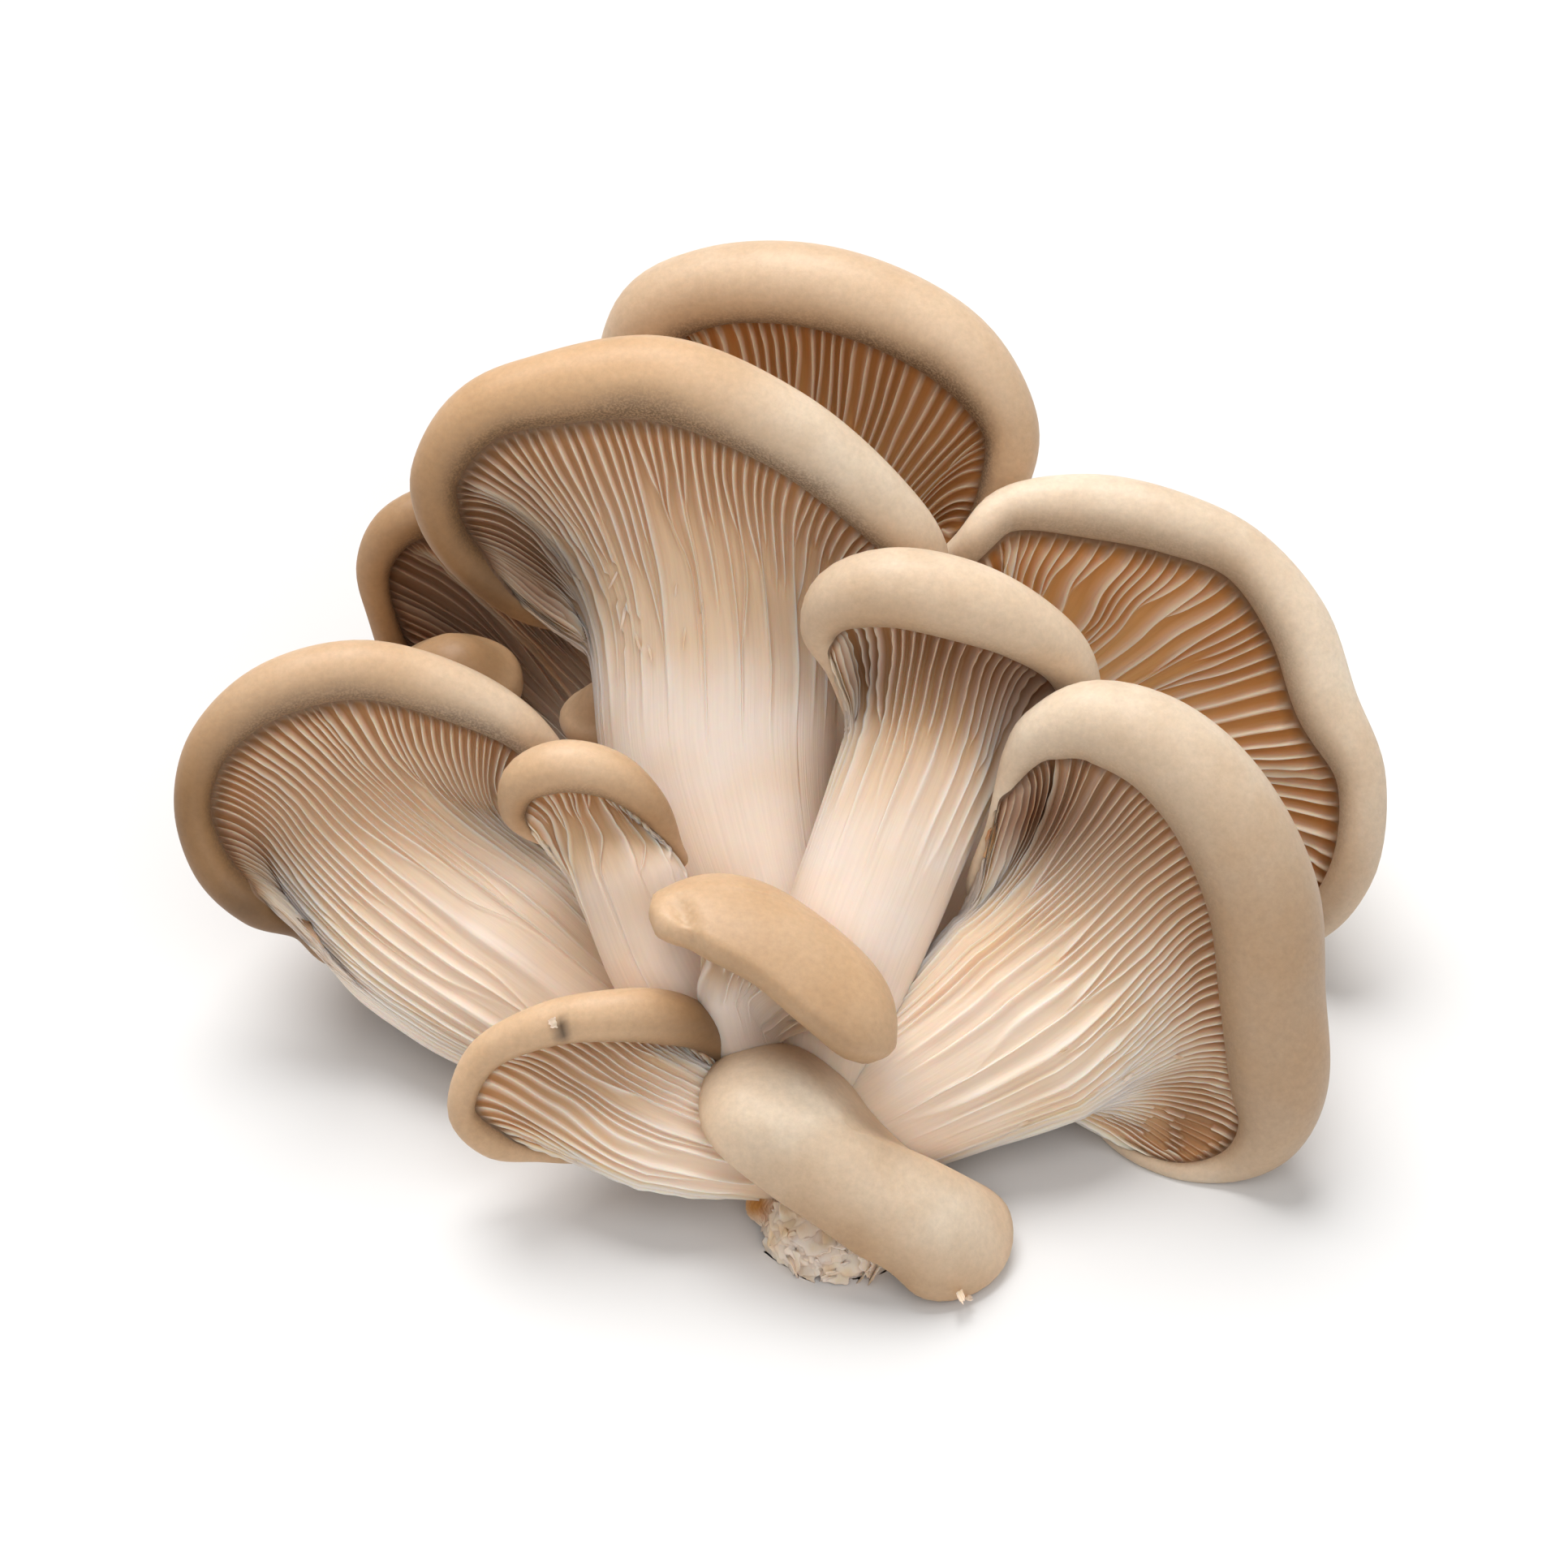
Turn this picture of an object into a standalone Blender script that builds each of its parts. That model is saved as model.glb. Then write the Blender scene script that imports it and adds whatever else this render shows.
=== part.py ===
# Oyster mushroom cluster, as picked: thirteen fruit bodies that grew out of one torn clump.
# Every fruit body is one closed solid, made of stem, gill side, rolled margin and cap in one skin.
# Shapes are given in millimetres in the face frame: across to the right, up the way the stems
# fan out, and out of the gill side. The face frame is then leant back to lie on the table.

import math

import bmesh
import bpy
import numpy as np

METRE = 0.001                       # one millimetre, in Blender's metres
FACE_ELEVATION = math.radians(48)   # how high the gill side looks, above level
FACE_HEIGHT = 34.5                  # height of the face frame's origin over the table
FOOTPRINT_MIDDLE = (-0.1, 5.4)      # middle of the footprint, moved to the origin
VIEWER = 1500.0                     # outlines are drawn as seen from this far out of the face
PRESS_GAP = 0.3                     # clearance left where one piece presses into another

OUT = np.array((0.0, 0.0, 1.0))
UP = np.array((0.0, 1.0, 0.0))

# The section of a margin is a round roll. Angles run from outward (0) to the cap's back (90).
GILL_MEETS_ROLL = math.radians(160), math.radians(285)   # in front of the stem, and behind it
CAP_MEETS_ROLL = math.radians(60 + 360)
GILL_ARRIVAL = math.radians(50)     # how steeply the gill side turns up into the roll in front
ARC_SHARE = 0.35                    # how far gills spread evenly round the stem
RUN_DOWN = 6.0                      # least stretch of gill along the stem, below the margin
RIDGE_SHARE = 0.4                   # most that a ridge stands up, as a share of its width

STEM_ROWS = 3
GILL_ROWS = 6
ROLL_ROWS = 4
CAP_ROWS = 3

CREAM = (0.86, 0.76, 0.66)
FAWN = (0.66, 0.54, 0.42)

# For each fruit body, in the order in which they press into each other, front first:
#   stem   (across, up, out, half width, half depth) from inside the clump to the neck
#   rim    (across, up, out, roll radius) round the middle of the rolled margin
#   crown  the middle of the cap's outside
#   gills  how many gill ridges go round, each larger than life
#   ridge  height of a ridge
#   hollow how far from the margin a gill starts to turn up to it, as a share of the gill
FRUIT_BODIES = {
    "mushroom_lower_front": {
        "stem": [(4, -46, -4, 5, 5), (5, -46, 0, 5, 5), (7, -46.5, 4, 5, 5)],
        "rim": [(-6.8, -41.6, 17.5, 3.4), (-1.2, -47, 17, 3.3), (6.2, -52.2, 16, 3.2),
                (12.5, -56.6, 14.2, 3.3), (18.2, -60.2, 12.3, 3.4), (23, -59.9, 10.2, 2.6),
                (26, -56.8, 8, 2), (25.6, -52.4, 6.6, 1.9), (21.4, -50, 6, 2),
                (15.5, -47.5, 6.5, 2.2), (9.5, -42.2, 7.3, 2.3),
                (5, -37.5, 8.5, 2.7), (-0.5, -34.3, 10.5, 2.8), (-6.5, -36, 13, 3)],
        "crown": (7.5, -43, 19),
        "gills": 12, "ridge": 0.8, "hollow": 0.12,
    },
    "mushroom_upper_front": {
        "stem": [(3, -44, 1, 4, 3.5), (-1, -38, 4, 4, 3.3), (-5, -31, 9.5, 4, 3.3),
                 (-6.5, -25.5, 14, 4.3, 3.5)],
        "rim": [(-13.5, -15.8, 19, 3.2), (-8.5, -18.8, 22, 3), (-2, -22.3, 23.5, 3),
                (4, -27.2, 23.5, 3.1), (9.8, -30.8, 21, 3.7), (11.5, -28.5, 16, 2.8),
                (8, -23.5, 12.5, 2), (2, -18.5, 11.5, 2), (-5, -14.2, 12, 2),
                (-11, -13.4, 14.5, 2.4)],
        "crown": (3, -16.5, 18),
        "gills": 12, "ridge": 0.8, "hollow": 0.36,
    },
    "mushroom_low_left": {
        "stem": [(3, -45, 2, 6, 5), (-2, -45.5, 5, 6, 5), (-7, -44.5, 7, 5, 4.6),
                 (-12, -42.5, 8, 5, 4.6)],
        "rim": [(-30.1, -45.4, 5, 1.2), (-36, -44.2, 8, 1.9), (-39.8, -40.2, 12, 1.7),
                (-37, -33.5, 14.5, 2.2), (-29, -29.6, 17, 2.8), (-20.3, -28.5, 18, 3.3),
                (-14.5, -28.8, 16, 3.4), (-10.3, -30.2, 12.5, 2.7), (-8.2, -33, 8.5, 1.6),
                (-8.5, -38, 2.5, 1.2), (-16, -42.5, 1, 1.2), (-24, -45, 2, 1.2)],
        "crown": (-25, -34, 4),
        "gills": 13, "ridge": 1.1, "hollow": 0.36,
    },
    "mushroom_front_right": {
        "stem": [(5, -44, 0, 7, 6), (13, -39, 1, 10, 7), (21.5, -33.8, 2, 12.3, 7.8),
                 (29, -28.8, 2, 14.5, 8.3)],
        "rim": [(23.6, -12.6, 2, 0.9), (26, -5.5, 9, 1.2), (28, 1.6, 13, 2),
                (31.5, 6.4, 15.5, 4.2), (38.5, 7.7, 17, 5.2), (46.8, 4.5, 17, 6.1),
                (54, -3, 15.5, 6.7), (59, -14, 12.5, 7), (60.2, -26, 9, 6.6),
                (61, -36.5, 5, 6.2), (59.8, -43, 2, 4.2), (55.2, -47, -1.2, 2.1),
                (48, -47.6, -2.6, 1), (41, -44, -5, 1), (36, -37, -10.5, 1.2),
                (31, -27, -12, 1.2), (25.5, -18, -7.5, 1)],
        "crown": (47, -18, -17),
        "gills": 19, "ridge": 1.5, "hollow": 0.36,
    },
    "mushroom_middle_right": {
        "stem": [(4, -42, 1, 6, 5.5), (7, -24, 4, 8.6, 6), (12, -10, 4.5, 9.5, 6.6),
                 (16.8, 2, 4, 9.8, 7)],
        "rim": [(8.3, 8.6, 1.5, 0.9), (6.4, 14.1, 7.5, 1.3), (4.4, 19, 11, 2.4),
                (7.2, 22.9, 14, 4.2), (13.7, 24.2, 16, 5), (22, 22.6, 16, 5.1),
                (29.2, 19.6, 14, 4.4), (34.9, 15.1, 10, 3.4), (36.5, 9, 4, 2.2),
                (32, 5, -3.5, 1.5), (24, 6.5, -8.5, 1.3), (15, 7, -9, 1.2), (9, 7, -4.5, 1)],
        "crown": (20, 16, -7),
        "gills": 15, "ridge": 1.2, "hollow": 0.36,
    },
    "mushroom_slim_left": {
        "stem": [(1, -41, 1, 5, 4.5), (-7, -34, 3, 5.5, 4), (-14.5, -24, 6.5, 6.2, 4.8),
                 (-18.8, -12, 7, 7, 5)],
        "rim": [(-29.8, -6.6, 5, 0.9), (-33.1, -4.2, 8, 1.4), (-33.1, -1.1, 10, 2.3),
                (-31.1, 1.1, 11.5, 3), (-26.6, 2.2, 12.5, 3.3), (-20.9, 0.9, 12, 3),
                (-16.3, -2.8, 10.5, 2.1), (-13.6, -7.5, 7, 1.1), (-13, -9.5, 3.5, 0.9),
                (-18, -7.5, 0.8, 0.9), (-25.5, -6.5, 1.2, 0.9)],
        "crown": (-23, -2, 0.5),
        "gills": 12, "ridge": 1, "hollow": 0.36,
    },
    "mushroom_front_left": {
        "stem": [(-1, -42, -1, 7, 6), (-13, -36, -5, 9.5, 6.3), (-25, -28.5, -7, 12, 7),
                 (-36, -20.5, -8, 14.5, 7.5)],
        "rim": [(-59.4, -16.9, -9, 1.6), (-65.5, -14.5, -3, 1.8), (-70.8, -10, -1, 1.9),
                (-72.9, -2.5, 1, 2.3), (-70.5, 5.4, 3, 2.8), (-63, 11.6, 5, 3.5),
                (-52, 14.1, 6, 3.7), (-40.5, 11.2, 5, 3.6), (-31.6, 6.2, 3, 2.7),
                (-26.8, -1, -4, 1.7), (-28.5, -9, -15, 1.4), (-37, -17, -20, 1.4),
                (-48, -22, -19, 1.5), (-55.5, -21, -14, 1.5)],
        "crown": (-50, -5, -24),
        "gills": 18, "ridge": 1.5, "hollow": 0.36,
    },
    "mushroom_tall_middle": {
        "stem": [(2, -42, -2, 7, 6), (-1, -24, -5.5, 9.5, 7.5), (-5.5, -8, -8, 12.5, 8.5),
                 (-8, 8, -9, 15, 9)],
        "rim": [(-31.6, 20.9, -5, 1.8), (-42.4, 30.5, 2, 2.3), (-42, 41, 7, 3.3),
                (-31.2, 48.2, 10, 4.4), (-15.4, 50, 12, 5.4), (-0.4, 44.1, 11, 5.1),
                (11.4, 34.9, 7, 4.4), (17.2, 27, 2, 3.4), (14, 19, -8.5, 2),
                (6, 15.5, -18, 1.6), (-7, 15, -22, 1.6), (-20, 16.5, -18.5, 1.6)],
        "crown": (-10, 31, -22),
        "gills": 18, "ridge": 1.5, "hollow": 0.36,
    },
    "mushroom_button": {
        "stem": [(0, -40, -3, 4, 4), (-8, -23, -15, 2.6, 2.6), (-17.5, -5, -23, 2.5, 2.5),
                 (-21.6, 6.5, -22.7, 2.4, 2.4)],
        "rim": [(-18.1, 8.3, -20.2, 1.7), (-19.6, 10.5, -22.8, 1.7), (-23.5, 10.5, -23.6, 1.7),
                (-25.9, 8.3, -21.8, 1.8), (-24.4, 6.1, -19.2, 1.8), (-20.5, 6.1, -18.4, 1.8)],
        "crown": (-22.7, 12, -17.8),
        "gills": 6, "ridge": 0.5, "hollow": 0.36,
    },
    "mushroom_small_left": {
        "stem": [(0, -40, -3, 4, 4), (-12, -27, -16, 3.2, 3), (-28, -9, -23, 3, 3),
                 (-39.8, 9.5, -20.4, 3, 3)],
        "rim": [(-34.7, 10.9, -15.1, 2.1), (-35.2, 14.8, -19.3, 2.2), (-40.7, 16.4, -22.2, 2.2),
                (-45.9, 14.1, -20.9, 2.2), (-45.4, 10.2, -16.7, 2.1), (-39.9, 8.6, -13.8, 2)],
        "crown": (-41.3, 17.2, -13.6),
        "gills": 8, "ridge": 0.7, "hollow": 0.36,
    },
    "mushroom_back_right": {
        "stem": [(6, -42, -3, 6, 5.5), (13, -26, -12, 7.5, 6), (20, -11, -21, 8.5, 6),
                 (26, 2, -26, 9.5, 7)],
        "rim": [(23.2, 29.8, -6, 2.2), (28.2, 34, -6, 2.9), (38.2, 34.2, -7, 4),
                (48.2, 32.1, -7, 3.9), (56.9, 28.1, -8, 3.5), (63.4, 19.8, -9, 4),
                (66.9, 9.8, -10, 4), (71.2, 0.5, -11, 3.1), (70, -11, -14, 2.9),
                (63, -18, -21.5, 2.3), (50, -14.5, -31.6, 1.8), (36, -2, -39.5, 1.6),
                (22, 8.5, -37.5, 1.6), (15.5, 20, -20, 1.7)],
        "crown": (46, 5, -43),
        "gills": 17, "ridge": 1.4, "hollow": 0.36,
    },
    "mushroom_back_top": {
        "stem": [(4, -42, -3, 5, 5), (4, -22, -19, 6, 5.5), (2, 2, -29, 6.5, 5.5),
                 (2, 19, -34, 8, 6)],
        "rim": [(-17, 56.8, -18, 4.6), (-9.2, 61.2, -15, 4.9), (2, 61.6, -13, 5.2),
                (12.8, 58.6, -12, 5.2), (22, 53, -12, 4.8), (27.7, 44.7, -13, 3.6),
                (27.3, 37.5, -15, 3), (23.5, 30, -21, 2.4), (15, 26, -34, 1.8),
                (2, 27, -43, 1.6), (-11, 32, -41, 1.8), (-19.5, 45, -30, 3)],
        "crown": (4, 47, -42),
        "gills": 16, "ridge": 1.4, "hollow": 0.36,
    },
    "mushroom_back_left": {
        "stem": [(-1, -42, -3, 5, 5), (-7, -24, -19, 5.5, 5), (-13, -8, -31, 6, 5),
                 (-19, 4, -37, 7, 5.5)],
        "rim": [(-49.8, 21, -26, 1.8), (-50.6, 27, -23, 2.3), (-47.4, 32, -20, 2.9),
                (-40, 34.5, -20, 3), (-31, 32.5, -23, 2.6), (-22, 26, -28, 2.2),
                (-14, 18, -32.5, 1.8), (-10.5, 9, -37.5, 1.4), (-13.5, 2.5, -42, 1.4),
                (-21, -1, -44.3, 1.4), (-30, 0, -44, 1.5), (-39, 5.5, -40.5, 1.8),
                (-46.5, 13.5, -33.5, 2)],
        "crown": (-35, 14, -48.5),
        "gills": 14, "ridge": 1.3, "hollow": 0.36,
    },
}

CLUMP = {
    "middle": (4, -45, 0.5), "half_sizes": (10, 8, 6),
    "torn_end": (4.3, -54.8, 6.6), "torn_half_sizes": (8.5, 6, 5),
    "lumps": 0.09, "columns": 18, "rows": 10,
}


def unit(vectors):
    return vectors / np.linalg.norm(vectors, axis=-1, keepdims=True)


def smooth_through(points, at, closed):
    """Catmull-Rom curve through the points, read where `at` counts points from the first."""
    points = np.asarray(points, float)
    count = len(points)
    if closed:
        first = np.floor(at).astype(int)
        index = [(first + step) % count for step in (-1, 0, 1, 2)]
        before, start, end, after = (points[i] for i in index)
    else:
        first = np.clip(np.floor(at).astype(int), 0, count - 2)
        start, end = points[first], points[first + 1]
        before = np.where(first[:, None] > 0, points[first - 1], 2 * start - end)
        after = np.where(first[:, None] < count - 2,
                         points[np.minimum(first + 2, count - 1)], 2 * end - start)
    f = (at - first)[:, None]
    return 0.5 * (2 * start + (end - before) * f
                  + (2 * before - 5 * start + 4 * end - after) * f ** 2
                  + (3 * start - before - 3 * end + after) * f ** 3)


def evenly_round(points, count):
    """The closed curve through the points, read at `count` places an equal length apart."""
    at = np.linspace(0, len(points), 40 * len(points) + 1)
    line = smooth_through(points, at, True)
    steps = np.linalg.norm(np.diff(line[:, :3], axis=0), axis=1)
    length = np.concatenate([[0], np.cumsum(steps)])
    places = np.interp(np.arange(count) / count * length[-1], length, at)
    return smooth_through(points, places, True)


def cubic(p0, p1, p2, p3, t):
    """Cubic Bezier curves, one a column, as rows at the parameters t."""
    t = t[:, None, None]
    return ((1 - t) ** 3 * p0 + 3 * (1 - t) ** 2 * t * p1
            + 3 * (1 - t) * t ** 2 * p2 + t ** 3 * p3)


def stem_skin(stem, shares, angle):
    """Points of an oval stem, middle + half width * cos * broad + half depth * sin * deep, and its
    direction there. shares is how far along the stem each point lies: a row for each ring."""
    spans = len(stem) - 1
    flat = shares.ravel()
    line = smooth_through(stem, flat * spans, False)
    ahead = smooth_through(stem, np.minimum(flat + 0.02, 1) * spans, False)
    behind = smooth_through(stem, np.maximum(flat - 0.02, 0) * spans, False)
    along = unit(ahead[:, :3] - behind[:, :3])
    whole = np.subtract(stem[-1][:3], stem[0][:3])
    broad = np.cross(whole, OUT)
    if np.linalg.norm(broad) < 0.45 * np.linalg.norm(whole):
        broad = np.cross(whole, UP)
    broad = unit(broad - along * (along @ broad)[:, None])
    deep = np.cross(along, broad)
    turn = np.broadcast_to(angle, shares.shape).ravel()
    points = (line[:, :3] + (line[:, 3] * np.cos(turn))[:, None] * broad
              + (line[:, 4] * np.sin(turn))[:, None] * deep)
    return points.reshape(*shares.shape, 3), along.reshape(*shares.shape, 3), broad[-1], deep[-1]


def margin_frame(rim, crown):
    """Outward and back axes of the roll at every column, square to the rim's run."""
    run = unit(np.roll(rim, -1, 0) - np.roll(rim, 1, 0))
    middle = rim.mean(0)
    back = np.asarray(crown, float) - middle
    back = unit(back - run * (run @ back)[:, None])
    outward = np.cross(run, back)
    if (outward * (rim - middle)).sum() < 0:
        outward = -outward
    return outward, back


def angles_round_stem(rim, middle, broad, deep):
    """The stem angle that each column starts at: partly the rim's bearing, partly an even spread."""
    away = rim - middle
    bearing = np.unwrap(np.arctan2(away @ deep, away @ broad))
    turn = math.copysign(2 * math.pi, bearing[-1] - bearing[0])
    even = np.arange(len(rim)) / len(rim) * turn
    even += (bearing - even).mean()
    return (1 - ARC_SHARE) * bearing + ARC_SHARE * even


def leaving_shares(stem, meets):
    """How far up the stem each column leaves it: at the neck, or lower where the margin hangs low,
    so that RUN_DOWN is left. 0.5 * (d + sqrt(d * d + 4)) is d above zero and fades out below it."""
    points = np.asarray(stem, float)[:, :3]
    along = unit(points[-1] - points[-2])
    low = RUN_DOWN - (meets - points[-1]) @ along
    drop = 0.5 * (low + np.sqrt(low * low + 4))
    length = np.linalg.norm(np.diff(points, axis=0), axis=1).sum()
    return np.maximum(1 - drop / length, 0.25)


def where_gills_meet(to_stem, outward, back):
    """The roll angle at which each column's gill meets it, 50 degrees short of facing the stem, and
    how far the column lies behind the stem, from 0 to 1."""
    facing = np.arctan2((to_stem * back).sum(1), (to_stem * outward).sum(1))
    facing = np.where(facing < math.radians(90), facing + 2 * math.pi, facing)[:, None]
    behind = np.clip((facing - math.radians(180)) / math.radians(80), 0, 1)
    return np.clip(facing - math.radians(50), *GILL_MEETS_ROLL), behind


def ridges(rows, height, profile, reach, back):
    """Every second column raised along the surface normal, by its row's share of the ridge height
    or by RIDGE_SHARE of the room that a ridge has there, whichever is less. Short gills stay low."""
    across = np.roll(rows, -1, 1) - np.roll(rows, 1, 1)
    normal = unit(np.cross(across, np.gradient(rows, axis=0)))
    if (normal[-1] * back).sum() > 0:
        normal = -normal
    room = RIDGE_SHARE * np.linalg.norm(across, axis=-1)
    raised = rows.copy()
    up = np.minimum(height, room) * profile[:, None] * np.clip(reach / 12, 0, 1)
    raised[:, 1::2] += (normal * up[..., None])[:, 1::2]
    return raised


def fruit_body_rows(body):
    """The skin as rows of points: from the stem's foot up the gill side, then round the margin
    and over the cap to the crown."""
    columns = 2 * body["gills"]
    rim = evenly_round(body["rim"], columns)
    rim, roll = rim[:, :3], rim[:, 3:4]
    outward, back = margin_frame(rim, body["crown"])

    _, _, broad, deep = stem_skin(body["stem"], np.ones((1, 1)), 0)
    neck = np.asarray(body["stem"][-1][:3], float)
    angle = angles_round_stem(rim, neck, broad, deep)
    leaving = leaving_shares(body["stem"], rim)
    shares = np.linspace(0, 1, STEM_ROWS + 1)[:, None] * leaving
    stem, along, _, _ = stem_skin(body["stem"], shares, angle)

    meeting, behind = where_gills_meet(stem[-1] - rim, outward, back)
    meets = rim + roll * (np.cos(meeting) * outward + np.sin(meeting) * back)
    straight = unit(meets - stem[-1])
    steep = math.cos(GILL_ARRIVAL) * outward - math.sin(GILL_ARRIVAL) * back
    arrival = unit(behind * straight + (1 - behind) * steep)
    reach = np.linalg.norm(meets - stem[-1], axis=1, keepdims=True)
    gill_shares = np.linspace(0, 1, GILL_ROWS + 1)[1:]
    sweep = 0.42 * reach * np.clip((straight * along[-1]).sum(1), 0.15, 1)[:, None]
    gills = cubic(stem[-1], stem[-1] + sweep * along[-1],
                  meets - body["hollow"] * reach * arrival, meets, gill_shares)
    profile = np.concatenate([np.linspace(0, 0.8, STEM_ROWS + 1) ** 1.5,
                              np.sin(np.pi * (0.28 + 0.66 * gill_shares))])
    lower = ridges(np.concatenate([stem, gills]), body["ridge"], profile, reach[:, 0], back)

    turn = np.linspace(meeting, CAP_MEETS_ROLL, ROLL_ROWS + 1)[1:]
    margin = rim + roll * (np.cos(turn) * outward + np.sin(turn) * back)

    crown = np.asarray(body["crown"], float)
    leave = -math.sin(CAP_MEETS_ROLL) * outward + math.cos(CAP_MEETS_ROLL) * back
    axis = unit(crown - rim.mean(0))
    inward = crown - margin[-1]
    size = np.linalg.norm(inward, axis=1, keepdims=True)
    level = unit(inward - (inward @ axis)[:, None] * axis)
    cap = cubic(margin[-1], margin[-1] + 0.3 * size * leave, crown - 0.45 * size * level,
                np.broadcast_to(crown, inward.shape), np.linspace(0, 1, CAP_ROWS + 1))
    return np.concatenate([lower, margin, cap[1:-1]]), crown


def height_over_table(points):
    return (FACE_HEIGHT + points[..., 1] * math.cos(FACE_ELEVATION)
            + points[..., 2] * math.sin(FACE_ELEVATION))


def on_table(points):
    """From the face frame to the table's frame, in metres. Flesh that would sink in is flattened."""
    points = np.array(points, float)
    points[..., :2] *= 1 - points[..., 2:] / VIEWER
    depth = (points[..., 1] * math.sin(FACE_ELEVATION)
             - points[..., 2] * math.cos(FACE_ELEVATION))
    placed = np.stack([points[..., 0] - FOOTPRINT_MIDDLE[0], depth - FOOTPRINT_MIDDLE[1],
                       np.maximum(height_over_table(points), 0)], -1)
    return placed * METRE


def skin_mesh(name, rows, first_pole, last_pole):
    """A closed mesh from rings of points and a pole at each end, with its faces pointing out."""
    count, columns = rows.shape[:2]
    points = np.concatenate([rows.reshape(-1, 3), [first_pole, last_pole]])
    step = np.arange(columns)
    following = (step + 1) % columns
    faces = [(count * columns, a, b) for a, b in zip(following, step)]
    for row in range(count - 1):
        low, high = row * columns, (row + 1) * columns
        faces += [(low + a, low + b, high + b, high + a) for a, b in zip(step, following)]
    top = (count - 1) * columns
    faces += [(count * columns + 1, top + a, top + b) for a, b in zip(step, following)]
    mesh = bpy.data.meshes.new(name)
    placed = on_table(points)
    mesh.from_pydata(placed.tolist(), [], [tuple(int(i) for i in face) for face in faces])
    volume = sum(np.dot(placed[f[0]], np.cross(placed[f[i]], placed[f[i + 1]]))
                 for f in faces for i in range(1, len(f) - 1))
    if volume < 0:
        mesh.flip_normals()
    return mesh


def swollen(mesh):
    """A copy of the mesh grown by the clearance along its normals."""
    grown = mesh.copy()
    points = np.empty(len(mesh.vertices) * 3, np.float32)
    normals = np.empty_like(points)
    mesh.vertices.foreach_get("co", points)
    mesh.vertex_normals.foreach_get("vector", normals)
    grown.vertices.foreach_set("co", points + normals * PRESS_GAP * METRE)
    grown.update()
    return grown


def combined(name, mesh, others, operation):
    """The mesh joined with, or cut by, all the others."""
    obj = bpy.data.objects.new(name, mesh)
    bpy.context.scene.collection.objects.link(obj)
    group = bpy.data.collections.new("others")
    bpy.context.scene.collection.children.link(group)
    for other in others:
        group.objects.link(bpy.data.objects.new("other", other))
    boolean = obj.modifiers.new(operation, "BOOLEAN")
    boolean.operation = operation
    boolean.operand_type = "COLLECTION"
    boolean.collection = group
    boolean.solver = "MANIFOLD"
    bpy.context.view_layer.update()
    graph = bpy.context.evaluated_depsgraph_get()
    result = bpy.data.meshes.new_from_object(obj.evaluated_get(graph))
    for spent in [obj, *group.objects]:
        bpy.data.objects.remove(spent)
    bpy.data.collections.remove(group)
    result.name = name
    return result


def without_crumbs(mesh):
    """Only the largest connected piece of the mesh."""
    work = bmesh.new()
    work.from_mesh(mesh)
    unseen = set(work.verts)
    pieces = []
    while unseen:
        piece, front = set(), {next(iter(unseen))}
        while front:
            piece |= front
            front = {edge.other_vert(v) for v in front for edge in v.link_edges} - piece
        pieces.append(piece)
        unseen -= piece
    largest = max(pieces, key=len)
    bmesh.ops.delete(work, geom=[v for v in work.verts if v not in largest], context="VERTS")
    work.to_mesh(mesh)
    work.free()
    return mesh


def lump_mesh(name, middle, half_sizes):
    """An uneven ball: radius 1 + lumps * (sin 3a cos 2b + cos 5a sin 3b), stretched to its half sizes."""
    a = np.arange(CLUMP["columns"]) / CLUMP["columns"] * 2 * math.pi
    b = np.linspace(0, math.pi, CLUMP["rows"] + 2)[1:-1, None]
    radius = 1 + CLUMP["lumps"] * (np.sin(3 * a) * np.cos(2 * b) + np.cos(5 * a) * np.sin(3 * b))
    ball = np.stack([radius * np.sin(b) * np.cos(a), radius * np.cos(b) * np.ones_like(a),
                     radius * np.sin(b) * np.sin(a)], -1)
    rows = np.asarray(middle, float) + ball * np.asarray(half_sizes, float)
    poles = [np.asarray(middle, float) + np.array((0, side, 0)) * half_sizes for side in (1, -1)]
    return skin_mesh(name, rows, *poles)


def mushroom_flesh(name, colour, roughness):
    material = bpy.data.materials.new(name)
    material.use_nodes = True
    shader = material.node_tree.nodes["Principled BSDF"]
    shader.inputs["Base Color"].default_value = (*colour, 1)
    shader.inputs["Roughness"].default_value = roughness
    shader.inputs["Metallic"].default_value = 0
    return material


def add_piece(name, mesh, material):
    mesh.materials.clear()
    mesh.materials.append(material)
    mesh.shade_smooth()
    bpy.context.scene.collection.objects.link(bpy.data.objects.new(name, mesh))


def main():
    for obj in list(bpy.data.objects):
        bpy.data.objects.remove(obj)
    cap_material = mushroom_flesh("fawn_flesh", FAWN, 0.55)
    clump_material = mushroom_flesh("cream_flesh", CREAM, 0.7)

    clump = combined("base_clump", lump_mesh("clump", CLUMP["middle"], CLUMP["half_sizes"]),
                     [lump_mesh("torn_end", CLUMP["torn_end"], CLUMP["torn_half_sizes"])], "UNION")
    pressing = [swollen(clump)]
    add_piece("base_clump", clump, clump_material)
    for name, body in FRUIT_BODIES.items():
        rows, crown = fruit_body_rows(body)
        whole = skin_mesh(name, rows, rows[0].mean(0), crown)
        grown = swollen(whole)
        add_piece(name, without_crumbs(combined(name, whole, pressing, "DIFFERENCE")), cap_material)
        pressing.append(grown)


main()
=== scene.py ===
# Oyster mushroom cluster, as picked, lying on a pale table.
# Every fruit body is one skin, computed on a grid: stem, gill side, rolled margin and cap.
# Shapes are in millimetres in the face frame: across to the right, up the way the stems fan out,
# and out of the gill side. The face frame is then leant back to lie on the table, in metres.

import math

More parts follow.
